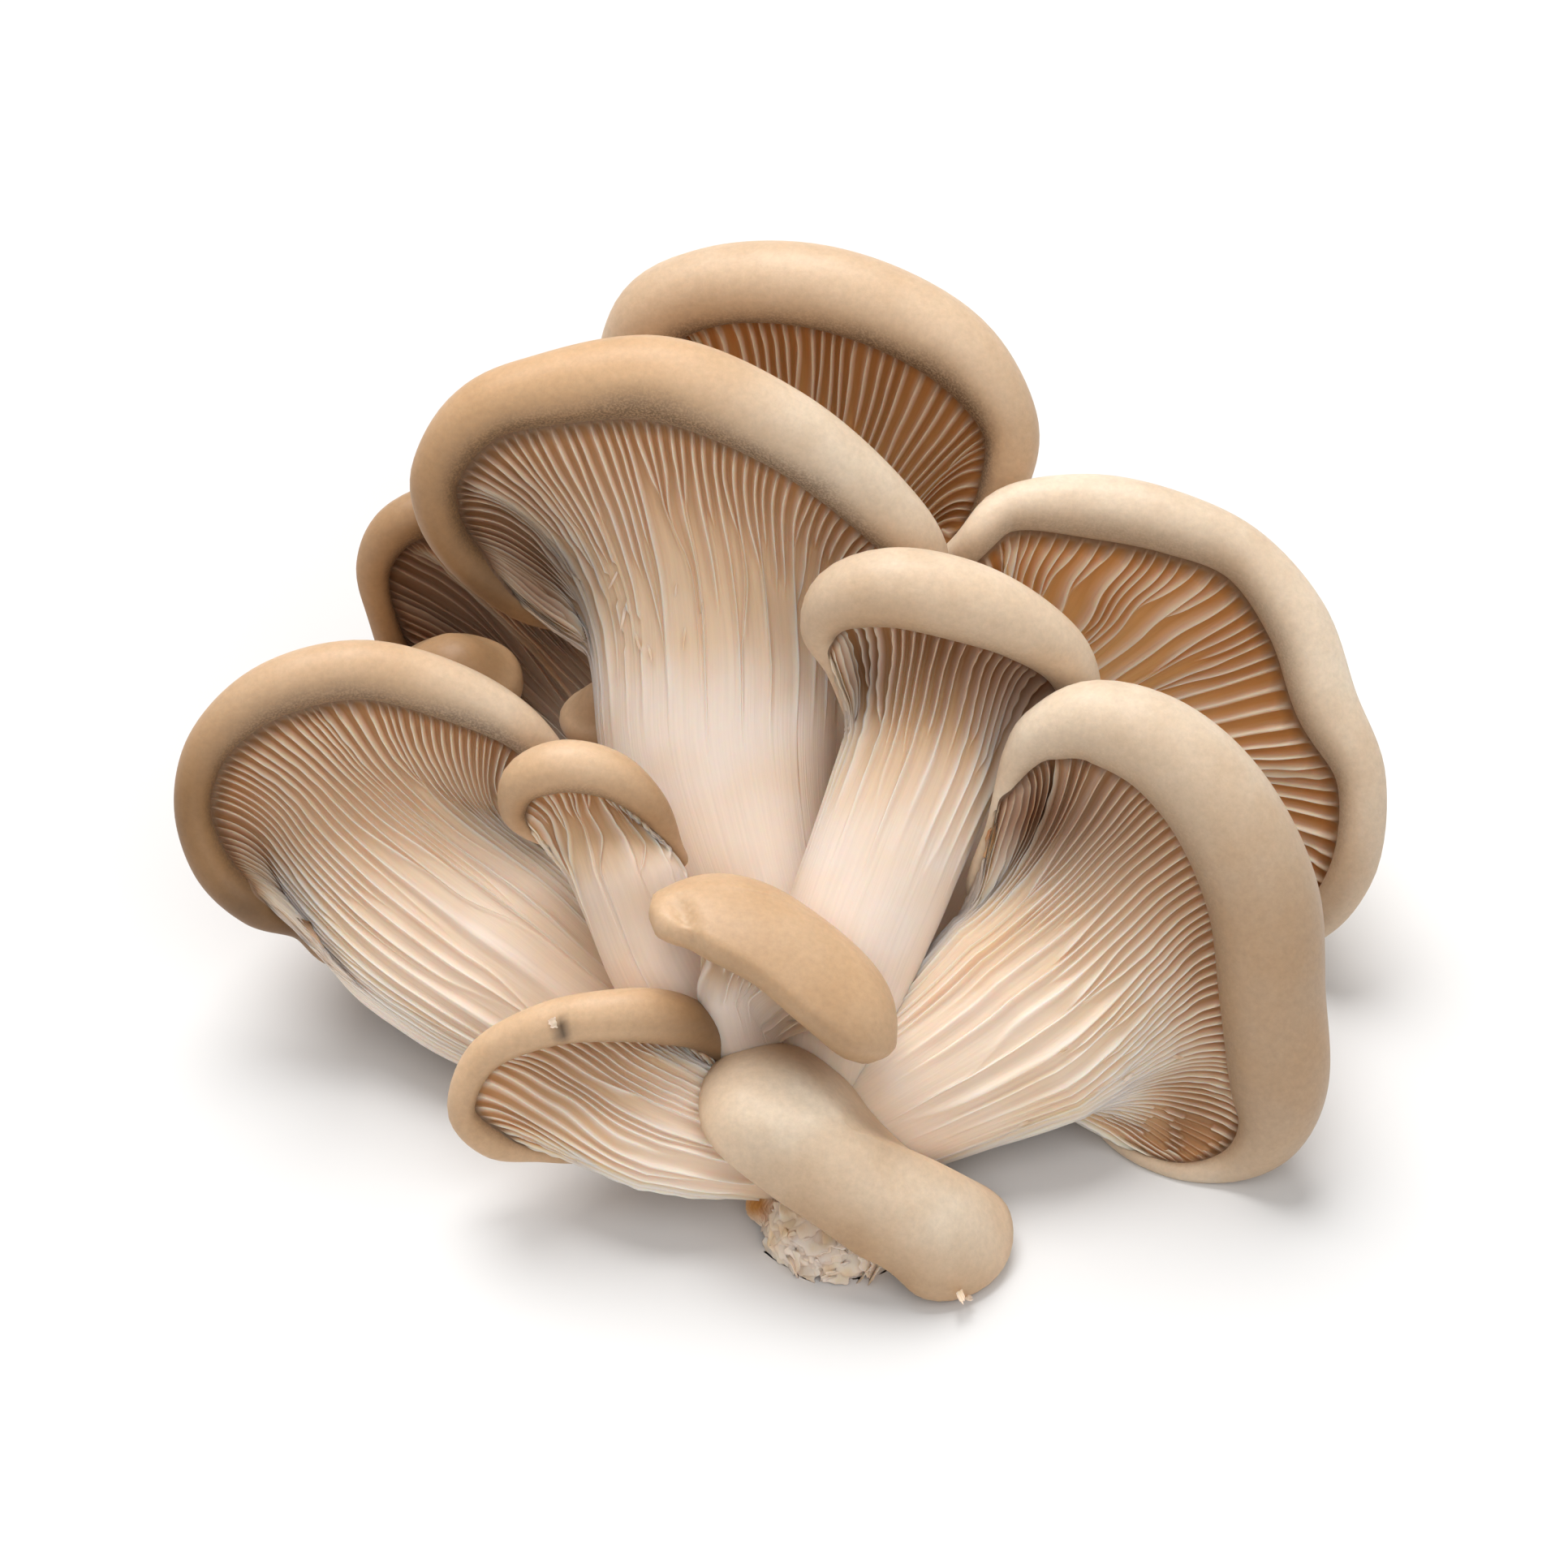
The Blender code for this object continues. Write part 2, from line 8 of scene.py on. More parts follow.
import bpy
import numpy as np
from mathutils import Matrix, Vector


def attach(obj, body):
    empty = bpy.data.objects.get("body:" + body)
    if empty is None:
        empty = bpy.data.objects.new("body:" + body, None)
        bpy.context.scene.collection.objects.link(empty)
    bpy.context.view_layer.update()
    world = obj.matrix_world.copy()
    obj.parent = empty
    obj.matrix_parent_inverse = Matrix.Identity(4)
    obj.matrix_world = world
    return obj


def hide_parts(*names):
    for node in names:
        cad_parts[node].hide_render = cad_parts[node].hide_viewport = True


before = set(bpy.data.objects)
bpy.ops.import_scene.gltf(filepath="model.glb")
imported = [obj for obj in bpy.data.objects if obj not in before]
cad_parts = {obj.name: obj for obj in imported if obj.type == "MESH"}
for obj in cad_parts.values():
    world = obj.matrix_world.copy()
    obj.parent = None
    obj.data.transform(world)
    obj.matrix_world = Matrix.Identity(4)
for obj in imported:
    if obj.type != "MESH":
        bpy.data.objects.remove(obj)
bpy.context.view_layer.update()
print("frame loaded:", len(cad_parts), "nodes")

table = {
    "lean": math.radians(48),           # how high the gill side looks, above level
    "faceHeight": 34.5,                 # the face frame's origin over the table, mm
    "footprintMiddle": (-0.1, 5.4),     # middle of the footprint, mm
    "viewer": 1500.0,                   # outlines are drawn as seen from this far, mm
}

mm = 0.001
outAxis = np.array((0.0, 0.0, 1.0))
upAxis = np.array((0.0, 1.0, 0.0))

skin = {
    "baseColumns": 360,                 # columns of the smooth surface that the gills are laid on
    "rollRows": 18, "capRows": 16,
    "gillMeetsRoll": (math.radians(160), math.radians(285)),    # in front of the stem, behind it
    "capMeetsRoll": math.radians(60 + 360),
    "gillArrival": math.radians(50),    # how steeply a gill turns up into the roll in front
    "aslant": 0.65,                     # how far gills keep their own way instead of turning square
    "runDown": 6.0,                     # least stretch of gill along the stem, mm
    "meetsShort": math.radians(50),     # how far short of the stem's bearing a gill meets the roll
    "capHandles": (0.3, 0.45),          # of the cap's curve, for its length: at the margin, the crown
}

# One gill is a thin blade: columns at these shares of the way to the next blade
blade = {
    "at": np.array((0, .08, .16, .3, .5, .7, .84, .92)),
    "sharp": np.array((1, .9, .12, .02, 0, .02, .12, .9)),      # near the margin
    "soft": np.array((1, .95, .8, .4, .15, .4, .8, .95)),       # where it runs out on the stem
    "leaning": np.array((1, .5, .14, .04, .2, .5, .78, .92)),   # where it leans over to one side
}


def unit(vectors):
    return vectors / np.maximum(np.linalg.norm(vectors, axis=-1, keepdims=True), 1e-9)


def smoothstep(x):
    x = np.clip(x, 0, 1)
    return x * x * (3 - 2 * x)


# Catmull-Rom curve through the points, read where `at` counts points from the first
def smoothThrough(points, at, closed):
    points = np.asarray(points, float)
    count = len(points)
    if closed:
        first = np.floor(at).astype(int)
        before, start, end, after = (points[(first + step) % count] for step in (-1, 0, 1, 2))
    else:
        first = np.clip(np.floor(at).astype(int), 0, count - 2)
        start, end = points[first], points[first + 1]
        before = np.where(first[:, None] > 0, points[first - 1], 2 * start - end)
        after = np.where(first[:, None] < count - 2,
                         points[np.minimum(first + 2, count - 1)], 2 * end - start)
    f = (at - first)[:, None]
    return 0.5 * (2 * start + (end - before) * f
                  + (2 * before - 5 * start + 4 * end - after) * f ** 2
                  + (3 * start - before - 3 * end + after) * f ** 3)


# 1 + the sum of more * exp(-(distance round the rim / wide) ** 2), at shares of the way round
def swollen(shares, spots):
    total = np.ones(len(shares))
    for at, wide, more in spots:
        total += more * np.exp(-(((shares - at + 0.5) % 1 - 0.5) / wide) ** 2)
    return total


# The closed curve through the points, read at places an equal length apart
def evenlyRound(points, count):
    at = np.linspace(0, len(points), 40 * len(points) + 1)
    line = smoothThrough(points, at, True)
    length = np.concatenate([[0], np.cumsum(np.linalg.norm(np.diff(line[:, :3], axis=0), axis=1))])
    places = np.interp(np.arange(count) / count * length[-1], length, at)
    return smoothThrough(points, places, True), length[-1]


# Cubic Bezier curves, one a column, as rows at the parameters t
def cubic(p0, p1, p2, p3, t):
    t = t[:, None, None]
    return ((1 - t) ** 3 * p0 + 3 * (1 - t) ** 2 * t * p1
            + 3 * (1 - t) * t ** 2 * p2 + t ** 3 * p3)


# An oval stem: middle + half width * cos(angle) * broad + half depth * sin(angle) * deep
def stemSkin(stem, shares, angle):
    spans = len(stem) - 1
    flat = shares.ravel()
    line = smoothThrough(stem, flat * spans, False)
    ahead = smoothThrough(stem, np.minimum(flat + 0.02, 1) * spans, False)
    behind = smoothThrough(stem, np.maximum(flat - 0.02, 0) * spans, False)
    along = unit(ahead[:, :3] - behind[:, :3])
    whole = np.subtract(stem[-1][:3], stem[0][:3])
    broad = np.cross(whole, outAxis)
    if np.linalg.norm(broad) < 0.45 * np.linalg.norm(whole):
        broad = np.cross(whole, upAxis)
    broad = unit(broad - along * (along @ broad)[:, None])
    deep = np.cross(along, broad)
    turn = np.broadcast_to(angle, shares.shape).ravel()
    points = (line[:, :3] + (line[:, 3] * np.cos(turn))[:, None] * broad
              + (line[:, 4] * np.sin(turn))[:, None] * deep)
    return points.reshape(*shares.shape, 3), along.reshape(*shares.shape, 3), broad[-1], deep[-1]


# Outward and back axes of the margin's roll at every column, square to the rim's run
def marginFrame(rim, crown):
    run = unit(np.roll(rim, -1, 0) - np.roll(rim, 1, 0))
    middle = rim.mean(0)
    back = np.asarray(crown, float) - middle
    back = unit(back - run * (run @ back)[:, None])
    outward = np.cross(run, back)
    return (outward if (outward * (rim - middle)).sum() > 0 else -outward), back


# The stem angle that each column starts at: partly the rim's bearing, partly an even spread
def anglesRoundStem(rim, middle, broad, deep, arcShare):
    away = rim - middle
    bearing = np.unwrap(np.arctan2(away @ deep, away @ broad))
    turn = math.copysign(2 * math.pi, bearing[-1] - bearing[0])
    even = np.arange(len(rim)) / len(rim) * turn
    even += (bearing - even).mean()
    return (1 - arcShare) * bearing + arcShare * even


# How far up the stem each column leaves it: at the neck, or lower where the margin hangs low
def leavingShares(stem, rim):
    points = np.asarray(stem, float)[:, :3]
    low = skin["runDown"] - (rim - points[-1]) @ unit(points[-1] - points[-2])
    drop = 0.5 * (low + np.sqrt(low * low + 4))
    return np.maximum(1 - drop / np.linalg.norm(np.diff(points, axis=0), axis=1).sum(), 0.25)


# The smooth skin: stem rows, then gill rows on a cubic from stem to roll, then the roll's arc,
# then the cap's cubic to the crown. `along` is 0 to 1 up the stem, 1 to 2 along the gill,
# 2 to 3 round the roll and 3 to 4 over the cap.
def smoothSkin(body):
    rim, perimeter = evenlyRound(body["rim"], skin["baseColumns"])
    rim, roll = rim[:, :3], rim[:, 3:4]
    outward, back = marginFrame(rim, body["crown"])
    _, _, broad, deep = stemSkin(body["stem"], np.ones((1, 1)), 0)
    neck = np.asarray(body["stem"][-1][:3], float)
    angle = anglesRoundStem(rim, neck, broad, deep, body["arcShare"])
    stemRows = np.linspace(0, 1, body["stemRows"] + 1)
    stem, along, _, _ = stemSkin(body["stem"], stemRows[:, None] * leavingShares(body["stem"], rim),
                                 angle)

    toStem = stem[-1] - rim
    facing = np.arctan2((toStem * back).sum(1), (toStem * outward).sum(1))
    facing = np.where(facing < math.radians(90), facing + 2 * math.pi, facing)[:, None]
    behind = np.clip((facing - math.radians(180)) / math.radians(80), 0, 1)
    meeting = np.clip(facing - skin["meetsShort"], *skin["gillMeetsRoll"])
    meets = rim + roll * (np.cos(meeting) * outward + np.sin(meeting) * back)
    straight = unit(meets - stem[-1])
    level = unit(straight - (straight * back).sum(1)[:, None] * back)
    lead = unit(skin["aslant"] * level + (1 - skin["aslant"]) * outward)
    steep = math.cos(skin["gillArrival"]) * lead - math.sin(skin["gillArrival"]) * back
    arrival = unit(behind * straight + (1 - behind) * steep)
    reach = np.linalg.norm(meets - stem[-1], axis=1, keepdims=True)
    gillRows = np.linspace(0, 1, body["gillRows"] + 1)[1:]
    sweep = body["sweep"] * reach * np.clip((straight * along[-1]).sum(1), 0.15, 1)[:, None]
    hollow = body["hollow"] * swollen(np.arange(len(rim)) / len(rim), body.get("deeper", ()))
    gills = cubic(stem[-1], stem[-1] + sweep * along[-1],
                  meets - hollow[:, None] * reach * arrival, meets, gillRows)
    under = np.concatenate([stem, gills])

    rollRows = np.linspace(0, 1, skin["rollRows"] + 1)[1:]
    turn = meeting + rollRows[:, None, None] * (skin["capMeetsRoll"] - meeting)
    margin = rim + roll * (np.cos(turn) * outward + np.sin(turn) * back)
    crown = np.asarray(body["crown"], float)
    leave = -math.sin(skin["capMeetsRoll"]) * outward + math.cos(skin["capMeetsRoll"]) * back
    axis = unit(crown - rim.mean(0))
    inward = crown - margin[-1]
    size = np.linalg.norm(inward, axis=1, keepdims=True)
    level = unit(inward - (inward @ axis)[:, None] * axis)
    capRows = np.linspace(0, 1, skin["capRows"] + 1)[1:-1]
    start, end = skin["capHandles"]
    cap = cubic(margin[-1], margin[-1] + start * size * leave, crown - end * size * level,
                np.broadcast_to(crown, inward.shape), capRows)
    if body["relax"]:
        loose = skin["rollRows"] // 3
        cap, crown = relaxCap(np.concatenate([margin[-loose:], cap]), crown, body["relax"],
                              body["puff"], axis)
        margin, cap = np.concatenate([margin[:-loose], cap[:loose]]), cap[loose:]
    return {
        "under": under, "over": np.concatenate([margin, cap]), "crown": crown, "roll": roll[:, 0],
        "back": back, "reach": reach[:, 0], "perimeter": perimeter, "behind": behind[:, 0],
        "underAlong": np.concatenate([stemRows, 1 + gillRows]),
        "overAlong": np.concatenate([2 + rollRows, 3 + capRows]),
        "turn": np.concatenate([turn[..., 0], np.broadcast_to(
            np.full(len(rim), skin["capMeetsRoll"]), (len(capRows), len(rim)))]),
    }


# Normals of a grid that closes on itself round the columns
def gridNormals(rows):
    across = np.roll(rows, -1, 1) - np.roll(rows, 1, 1)
    return unit(np.cross(across, np.gradient(rows, axis=0)))


# Reads a grid of base columns at fractional columns, each row at its own places
def readAcross(grid, columns):
    count = grid.shape[1]
    first = np.floor(columns).astype(int)
    f = columns - first
    row = np.arange(grid.shape[0])[:, None]
    near, far = grid[row, first % count], grid[row, (first + 1) % count]
    f = f.reshape(f.shape + (1,) * (grid.ndim - 2))
    return near * (1 - f) + far * f


# The blade after each one; the first comes round again a whole turn on
def nextBlade(paths):
    return np.concatenate([paths[:, 1:], paths[:, :1] + skin["baseColumns"]], 1)


# Where every blade runs, in base columns: a row for each row of the skin. One blade in four is
# long. Each round of shortStarts then puts a blade into every space, which starts where it is
# drawn to, and leans to a neighbour there by 1 - smoothstep of the way past its start.
def bladePaths(body, along, spread, gillCount, rng):
    longCount = gillCount // 4
    step = skin["baseColumns"] / longCount
    places = np.linspace(0, 1, 721)
    closeness = np.interp(places, np.arange(len(spread)) / len(spread), spread, period=1)
    closeness *= swollen(places, body.get("crowded", ()))
    summed = np.concatenate([[0], np.cumsum(closeness[:-1] + closeness[1:])])
    counted = (np.arange(longCount) + 0.5 + rng.uniform(-0.16, 0.16, longCount)) / longCount
    share = np.interp(counted * summed[-1], summed, places)
    home = share * skin["baseColumns"]
    t = along[:, None]
    wave = np.zeros((len(along), longCount))
    for cycles, size in ((2, 0.05), (3, 0.05), (5, 0.03)):
        phase = rng.uniform(0, 2 * math.pi, 3)
        wave += size * np.sin(2 * math.pi * cycles * share + phase[0]
                              + 3 * np.sin(1.4 * cycles * t + phase[1]))
    paths = home + body["wander"] * step * wave * smoothstep(t)
    for spot in body.get("waves", ()):      # wavy blades over a stretch of the margin
        near = np.exp(-(((share - spot["at"] + 0.5) % 1 - 0.5) / spot["wide"]) ** 2)
        ripple = np.sin(2 * math.pi * spot["ripples"] * t + 9 * share)
        paths = paths + step * spot["size"] * near * ripple * smoothstep((t - spot["from"]) * 4)
    starts = rng.uniform(*body["fade"], longCount)
    for between in body["shortStarts"]:
        count = paths.shape[1]
        start = rng.uniform(*between, count)
        side = rng.choice((-0.5, 0, 0.5), count) * rng.uniform(0.7, 0.92, count)
        lean = 1 - smoothstep((t - start) / 0.35)
        over = 0.5 + side * lean + rng.uniform(-0.08, 0.08, count)
        middle = paths + (nextBlade(paths) - paths) * over
        paths = np.stack([paths, middle], -1).reshape(len(along), -1)
        starts = np.stack([starts, start], -1).ravel()
    return paths, starts


# How high blades stand, and the painted shade between them
gillRelief = {
    "fullHeightFrom": 9,        # gills this long, mm, and longer ones stand at gillHeight
    "shortest": 0.3,            # least share of gillHeight
    "lessBehind": 0.35,         # how much lower they are behind the stem
    "perRoll": 1.2,             # most height for the roll's radius
    "perGap": 1.1,              # most height for the space to the next blade
    "aloneMore": 1.4,           # share more of that where its neighbours haven't begun
    "growsOver": (0.6, 0.16),   # stretch a blade grows over: begun on the stem, on the gill
    "ends": 0.07,               # share of the gill that it takes to run out at the margin
    "raggedness": 0.10,         # most share by which a blade's edge rises and falls
    "tonedFrom": 0.12, "tonedOver": 0.8,    # heights, mm, over which valleys take the painted shade
    "fineTone": 0.5,            # the painted shade where blades are too fine to stand out
}


def makeGills(body, base, rng):
    gap = np.linalg.norm(np.roll(base["under"], -1, 1) - base["under"], axis=-1)
    spread = np.maximum(gap[base["underAlong"] > 1.45].mean(0), 0.7 * gap[-1])
    crowd = swollen(np.arange(len(spread)) / len(spread), body.get("crowded", ()))
    gillCount = 4 * max(1, round((spread * crowd).sum() / body["gillGap"] / 4))
    paths, starts = bladePaths(body, base["underAlong"], spread, gillCount, rng)
    space = nextBlade(paths) - paths
    columns = (paths[..., None] + space[..., None] * blade["at"]).reshape(len(paths), -1)
    points = readAcross(base["under"], columns)
    normals = gridNormals(base["under"])
    if (normals[-1] * base["back"]).sum() > 0:
        normals = -normals
    normal = unit(readAcross(normals, columns))

    t = base["underAlong"][:, None]
    gap = readAcross(gap, paths) * space
    roll = readAcross(base["roll"][None], paths[-1:])
    reach = readAcross(base["reach"][None], paths[-1:])
    behind = readAcross(base["behind"][None], paths[-1:])
    tall = body["gillHeight"] * np.clip(reach / gillRelief["fullHeightFrom"], gillRelief["shortest"], 1)
    tall = np.minimum(tall * (1 - gillRelief["lessBehind"] * behind), gillRelief["perRoll"] * roll)
    low = body["stemRidge"] * smoothstep((t - body["stemBare"]) / 0.5)
    height = low + (tall - low) * smoothstep((t - 1) / body["rise"])
    grown = smoothstep((t - starts) / np.where(starts < 1, *gillRelief["growsOver"]))
    around = sum(np.roll(grown, step, 1) for step in (-1, 0, 1, 2)) / 4
    room = gillRelief["perGap"] * gap * (1 + gillRelief["aloneMore"] * (1 - around)) + 0.1
    height = np.minimum(height, room) * smoothstep((2 - t) / gillRelief["ends"])
    calm = swollen(np.arange(len(spread)) / len(spread), body.get("lower", ()))
    height = height * readAcross(calm[None], paths[-1:])
    ripple = np.sin(40 * t + rng.uniform(0, 6, gillCount)) * rng.uniform(0, 1, gillCount)
    grown = grown * (1 + gillRelief["raggedness"] * ripple)
    spine = readAcross(base["under"], paths)
    for across, up, size, left in body.get("tears", ()):      # blades broken down in a patch
        away = np.hypot(spine[..., 0] - across, (spine[..., 1] - up) * 0.7)
        cut = (away < size * rng.uniform(0.6, 1.2, gillCount)) & (spine[..., 2] > spine[0, 0, 2] - 8)
        grown = np.where(cut, grown * left, grown)

    soft = 1 - smoothstep((t - 0.9) / 0.45)
    leaning = (1 - soft[..., None]) * body["lean"]
    profile = soft[..., None] * blade["soft"] + (1 - soft[..., None]) * blade["sharp"]
    profile = profile * (1 - leaning) + leaning * blade["leaning"]
    after = np.roll(grown, -1, 1)
    own = np.where(np.arange(8) < 4.5, grown[..., None], after[..., None])
    raised = (profile * own).reshape(points.shape[:2])
    height = np.repeat(height, 8, 1)
    offset = height * (raised - 0.6)
    # The painted shade between blades: it darkens the hollows, more towards the margin, and lays an even
    # tone where blades stand too low to cast their own shadow
    stands = smoothstep((height - gillRelief["tonedFrom"]) / gillRelief["tonedOver"])
    deep = smoothstep((0.75 - raised) / 0.7) * (0.5 + 0.5 * smoothstep((t - 0.9) / 0.5))
    fine = gillRelief["fineTone"] * smoothstep((t - 1.25) / 0.3)
    valleyShade = stands * deep + (1 - stands) * fine
    return points + normal * offset[..., None], columns, gillCount, valleyShade


# Evens out a cap: each step takes every point half-way to the mean of its four neighbours.
# Then it is puffed up by puff * (1 - share of the way from crown to margin, squared).
def relaxCap(cap, crown, steps, puff, away):
    share = np.linspace(1, 0, len(cap) + 1)[:, None]
    crown = np.array(crown)
    for _ in range(steps):
        after = np.concatenate([cap[2:], np.broadcast_to(crown, (1,) + cap.shape[1:])])
        around = (np.roll(cap[1:], 1, 1) + np.roll(cap[1:], -1, 1) + cap[:-1] + after) / 4
        cap = np.concatenate([cap[:1], (cap[1:] + around) / 2])
        crown = cap[-1].mean(0)
    raised = puff * (1 - share ** 2)
    return cap + raised[:-1, :, None] * away, crown + raised[-1] * away


spotStretch = (1, 1, 0.5)               # spots and dents reach twice as far in and out


# A hollow or a swelling: depth * exp(-(distance / size) ** 2) along the normal
def pressDents(points, normals, dents):
    for across, up, out, size, depth in dents:
        away = np.linalg.norm((points - (across, up, out)) * spotStretch / size, axis=-1)
        points = points - normals * (depth * np.exp(-away ** 2))[..., None]
    return points


# Face frame to table: drawn in by how near the viewer it is, leant back, and never under the table
def onTable(points):
    points = np.array(points, float)
    points[..., :2] *= 1 - points[..., 2:] / table["viewer"]
    rise, depth = math.cos(table["lean"]), math.sin(table["lean"])
    placed = np.stack([
        points[..., 0] - table["footprintMiddle"][0],
        points[..., 1] * depth - points[..., 2] * rise - table["footprintMiddle"][1],
        np.maximum(table["faceHeight"] + points[..., 1] * rise + points[..., 2] * depth, 0),
    ], -1)
    return placed * mm


# True where the faces of a closed shape point away from its middle, on the whole
def facesOut(points, quads):
    a, b, c, d = (points[quads[:, k]] for k in range(4))
    return (np.cross(c - a, d - b) * (a + b + c + d - 4 * points.mean(0))).sum() > 0


# Vertices and faces to a mesh
def makeMesh(name, points, quads, polygons):
    counts = np.concatenate([np.full(len(quads), 4), [len(p) for p in polygons]]).astype(np.int32)
    corners = np.concatenate([quads.ravel(), *[np.asarray(p) for p in polygons]]).astype(np.int32)
    mesh = bpy.data.meshes.new(name)
    mesh.vertices.add(len(points))
    mesh.vertices.foreach_set("co", points.astype(np.float32).ravel())
    mesh.loops.add(len(corners))
    mesh.loops.foreach_set("vertex_index", corners)
    mesh.polygons.add(len(counts))
    mesh.polygons.foreach_set("loop_start", np.concatenate([[0], np.cumsum(counts)[:-1]]))
    mesh.update(calc_edges=True)
    mesh.validate()
    if not facesOut(points, quads):
        mesh.flip_normals()
    mesh.shade_smooth()
    return mesh


def addObject(name, data):
    made = bpy.data.objects.new(name, data)
    bpy.context.scene.collection.objects.link(made)
    return made


def giveAttribute(mesh, name, values):
    values = np.asarray(values, np.float32)
    kind = "FLOAT_VECTOR" if values.ndim == 2 else "FLOAT"
    made = mesh.attributes.new(name, kind, "POINT")
    made.data.foreach_set("vector" if values.ndim == 2 else "value", values.ravel())


# Quads between rows of a grid that closes on itself, from vertex number `first` on
def gridQuads(first, rowCount, columns):
    low = first + (np.arange(rowCount - 1) * columns)[:, None]
    here = np.arange(columns)
    following = (here + 1) % columns
    return np.stack([low + here, low + following, low + columns + following,
                     low + columns + here], -1).reshape(-1, 4)


# Puts the gill side and the cap side together. The gill side has eight columns a blade and the
# cap side two, so the seam between them is a row of seven-sided faces.
def makeFruitBody(name, body, seed):
    rng = np.random.default_rng(seed)
    body = {**usual, **body}
    base = smoothSkin(body)
    under, columns, gillCount, valleyShade = makeGills(body, base, rng)
    overColumns = columns[-1].reshape(-1, 8)[:, [0, 4]].reshape(1, -1)
    overColumns = np.repeat(overColumns, len(base["over"]), 0)
    over = readAcross(base["over"], overColumns)
    turn = readAcross(base["turn"], overColumns)
    overNormals = gridNormals(over)
    if (overNormals[-1] @ unit(base["crown"] - under.mean((0, 1)))).sum() < 0:
        overNormals = -overNormals
    over = pressDents(over, overNormals, body.get("dents", ()))

    wide, narrow = 8 * gillCount, 2 * gillCount
    overFirst = len(under) * wide
    poles = overFirst + len(over) * narrow
    points = np.concatenate([under.reshape(-1, 3), over.reshape(-1, 3),
                             [under[0].mean(0), base["crown"]]])
    quads = np.concatenate([gridQuads(0, len(under), wide),
                            gridQuads(overFirst, len(over), narrow)])
    last = overFirst - wide
    edge = np.arange(narrow)
    seam = np.stack([last + (4 * edge + k) % wide for k in range(5)]
                    + [overFirst + (edge + 1) % narrow, overFirst + edge], -1)
    top = poles - narrow
    foot = np.stack([np.full(wide, poles), (np.arange(wide) + 1) % wide, np.arange(wide)], -1)
    lid = np.stack([top + edge, top + (edge + 1) % narrow, np.full(narrow, poles + 1)], -1)
    placed = onTable(points)
    mesh = makeMesh(name, placed, quads, [*seam, *foot, *lid])

    underRows = np.repeat(base["underAlong"], wide)
    overRows = np.repeat(base["overAlong"], narrow)
    turned = [np.zeros(len(underRows)), np.degrees(turn).ravel()]
    giveAttribute(mesh, "along", np.concatenate([underRows, overRows, [0, 4]]))
    giveAttribute(mesh, "valleyShade", np.concatenate([valleyShade.ravel(), np.zeros(len(overRows) + 2)]))
    giveAttribute(mesh, "turn", np.concatenate([*turned, [0, math.degrees(skin["capMeetsRoll"])]]))
    radius = base["perimeter"] / (2 * math.pi)
    angle = np.concatenate([columns.ravel(), overColumns.ravel()]) / skin["baseColumns"] * 2 * math.pi
    rows = np.concatenate([underRows, overRows])
    grain = np.stack([radius * np.cos(angle), radius * np.sin(angle), 40 * rows], -1)
    giveAttribute(mesh, "grain", np.concatenate([grain, [[0, 0, 0], [0, 0, 160]]]))
    giveAttribute(mesh, "downAndShade", np.full(len(points), body["downAndShade"]))
    # Colour spots: pale also holds painted highlights, brown holds tan and painted shade, and the gill
    # shade and deep shade spots hold painted shade
    for tint, spots, plain in (("pale", "paleSkinAndHighlight", body["pale"]), ("warm", "ochre", body["warm"]),
                               ("paintedGillShade", "paintedGillShade", 0), ("brown", "brown", 0), ("paintedDeepShade", "paintedDeepShadeSpots", 0)):
        giveAttribute(mesh, tint, plain + spotted(points, body.get(spots, ())))

    mesh.materials.append(gillFlesh)
    mesh.materials.append(capSkin)
    slots = np.zeros(len(mesh.polygons), np.int32)
    underQuads = (len(under) - 1) * wide
    slots[underQuads:len(quads)] = 1
    slots[len(quads) + len(seam) + len(foot):] = 1
    mesh.polygons.foreach_set("material_index", slots)
    piece = addObject(name, mesh)
    print(name, gillCount, "gills,", sum(len(p.vertices) - 2 for p in mesh.polygons), "triangles")
    return piece


# Spots of colour: each is strength * exp(-(distance / size) ** 2), and they add up
def spotted(points, spots):
    total = np.zeros(len(points))
    for across, up, out, size, strength in spots:
        away = np.linalg.norm((points - (across, up, out)) * spotStretch, axis=-1)
        total += strength * np.exp(-(away / size) ** 2)
    return np.minimum(total, 1)


def toLinear(code):
    channels = [int(code[k:k + 2], 16) / 255 for k in (1, 3, 5)]
    return tuple(c / 12.92 if c <= 0.04045 else ((c + 0.055) / 1.055) ** 2.4 for c in channels) + (1,)


# Adds one node. inputs holds a value or another node's output for each socket.
def addNode(tree, kind, inputs=None, **settings):
    made = tree.nodes.new("ShaderNode" + kind)
    for key, value in settings.items():
        setattr(made, key, value)
    for key, value in (inputs or {}).items():
        if isinstance(value, bpy.types.NodeSocket):
            tree.links.new(value, made.inputs[key])
        else:
            made.inputs[key].default_value = value
    return made


# Mixes two colours; each is a hex value or another node's output
def mixColours(tree, share, first, second, blend="MIX"):
    first, second = (toLinear(c) if isinstance(c, str) else c for c in (first, second))
    made = addNode(tree, "Mix", {0: share, 6: first, 7: second}, data_type="RGBA", blend_type=blend)
    return made.outputs[2]


def readAttribute(tree, name, output="Fac"):
    return addNode(tree, "Attribute", attribute_name=name).outputs[output]


# Noise with `scale` features to a unit of place
def addNoise(tree, place, scale, detail, **more):
    inputs = {"Vector": place, "Scale": scale, "Detail": detail, **more}
    return addNode(tree, "TexNoise", inputs).outputs["Fac"]


def mapRange(tree, value, low, high, lowTo=0.0, highTo=1.0, smooth=False):
    made = addNode(tree, "MapRange", {0: value, 1: low, 2: high, 3: lowTo, 4: highTo},
                   interpolation_type="SMOOTHSTEP" if smooth else "LINEAR")
    return made.outputs[0]


def scaleColour(tree, colour, factor):
    return addNode(tree, "VectorMath", {0: colour, "Scale": factor}, operation="SCALE").outputs[0]


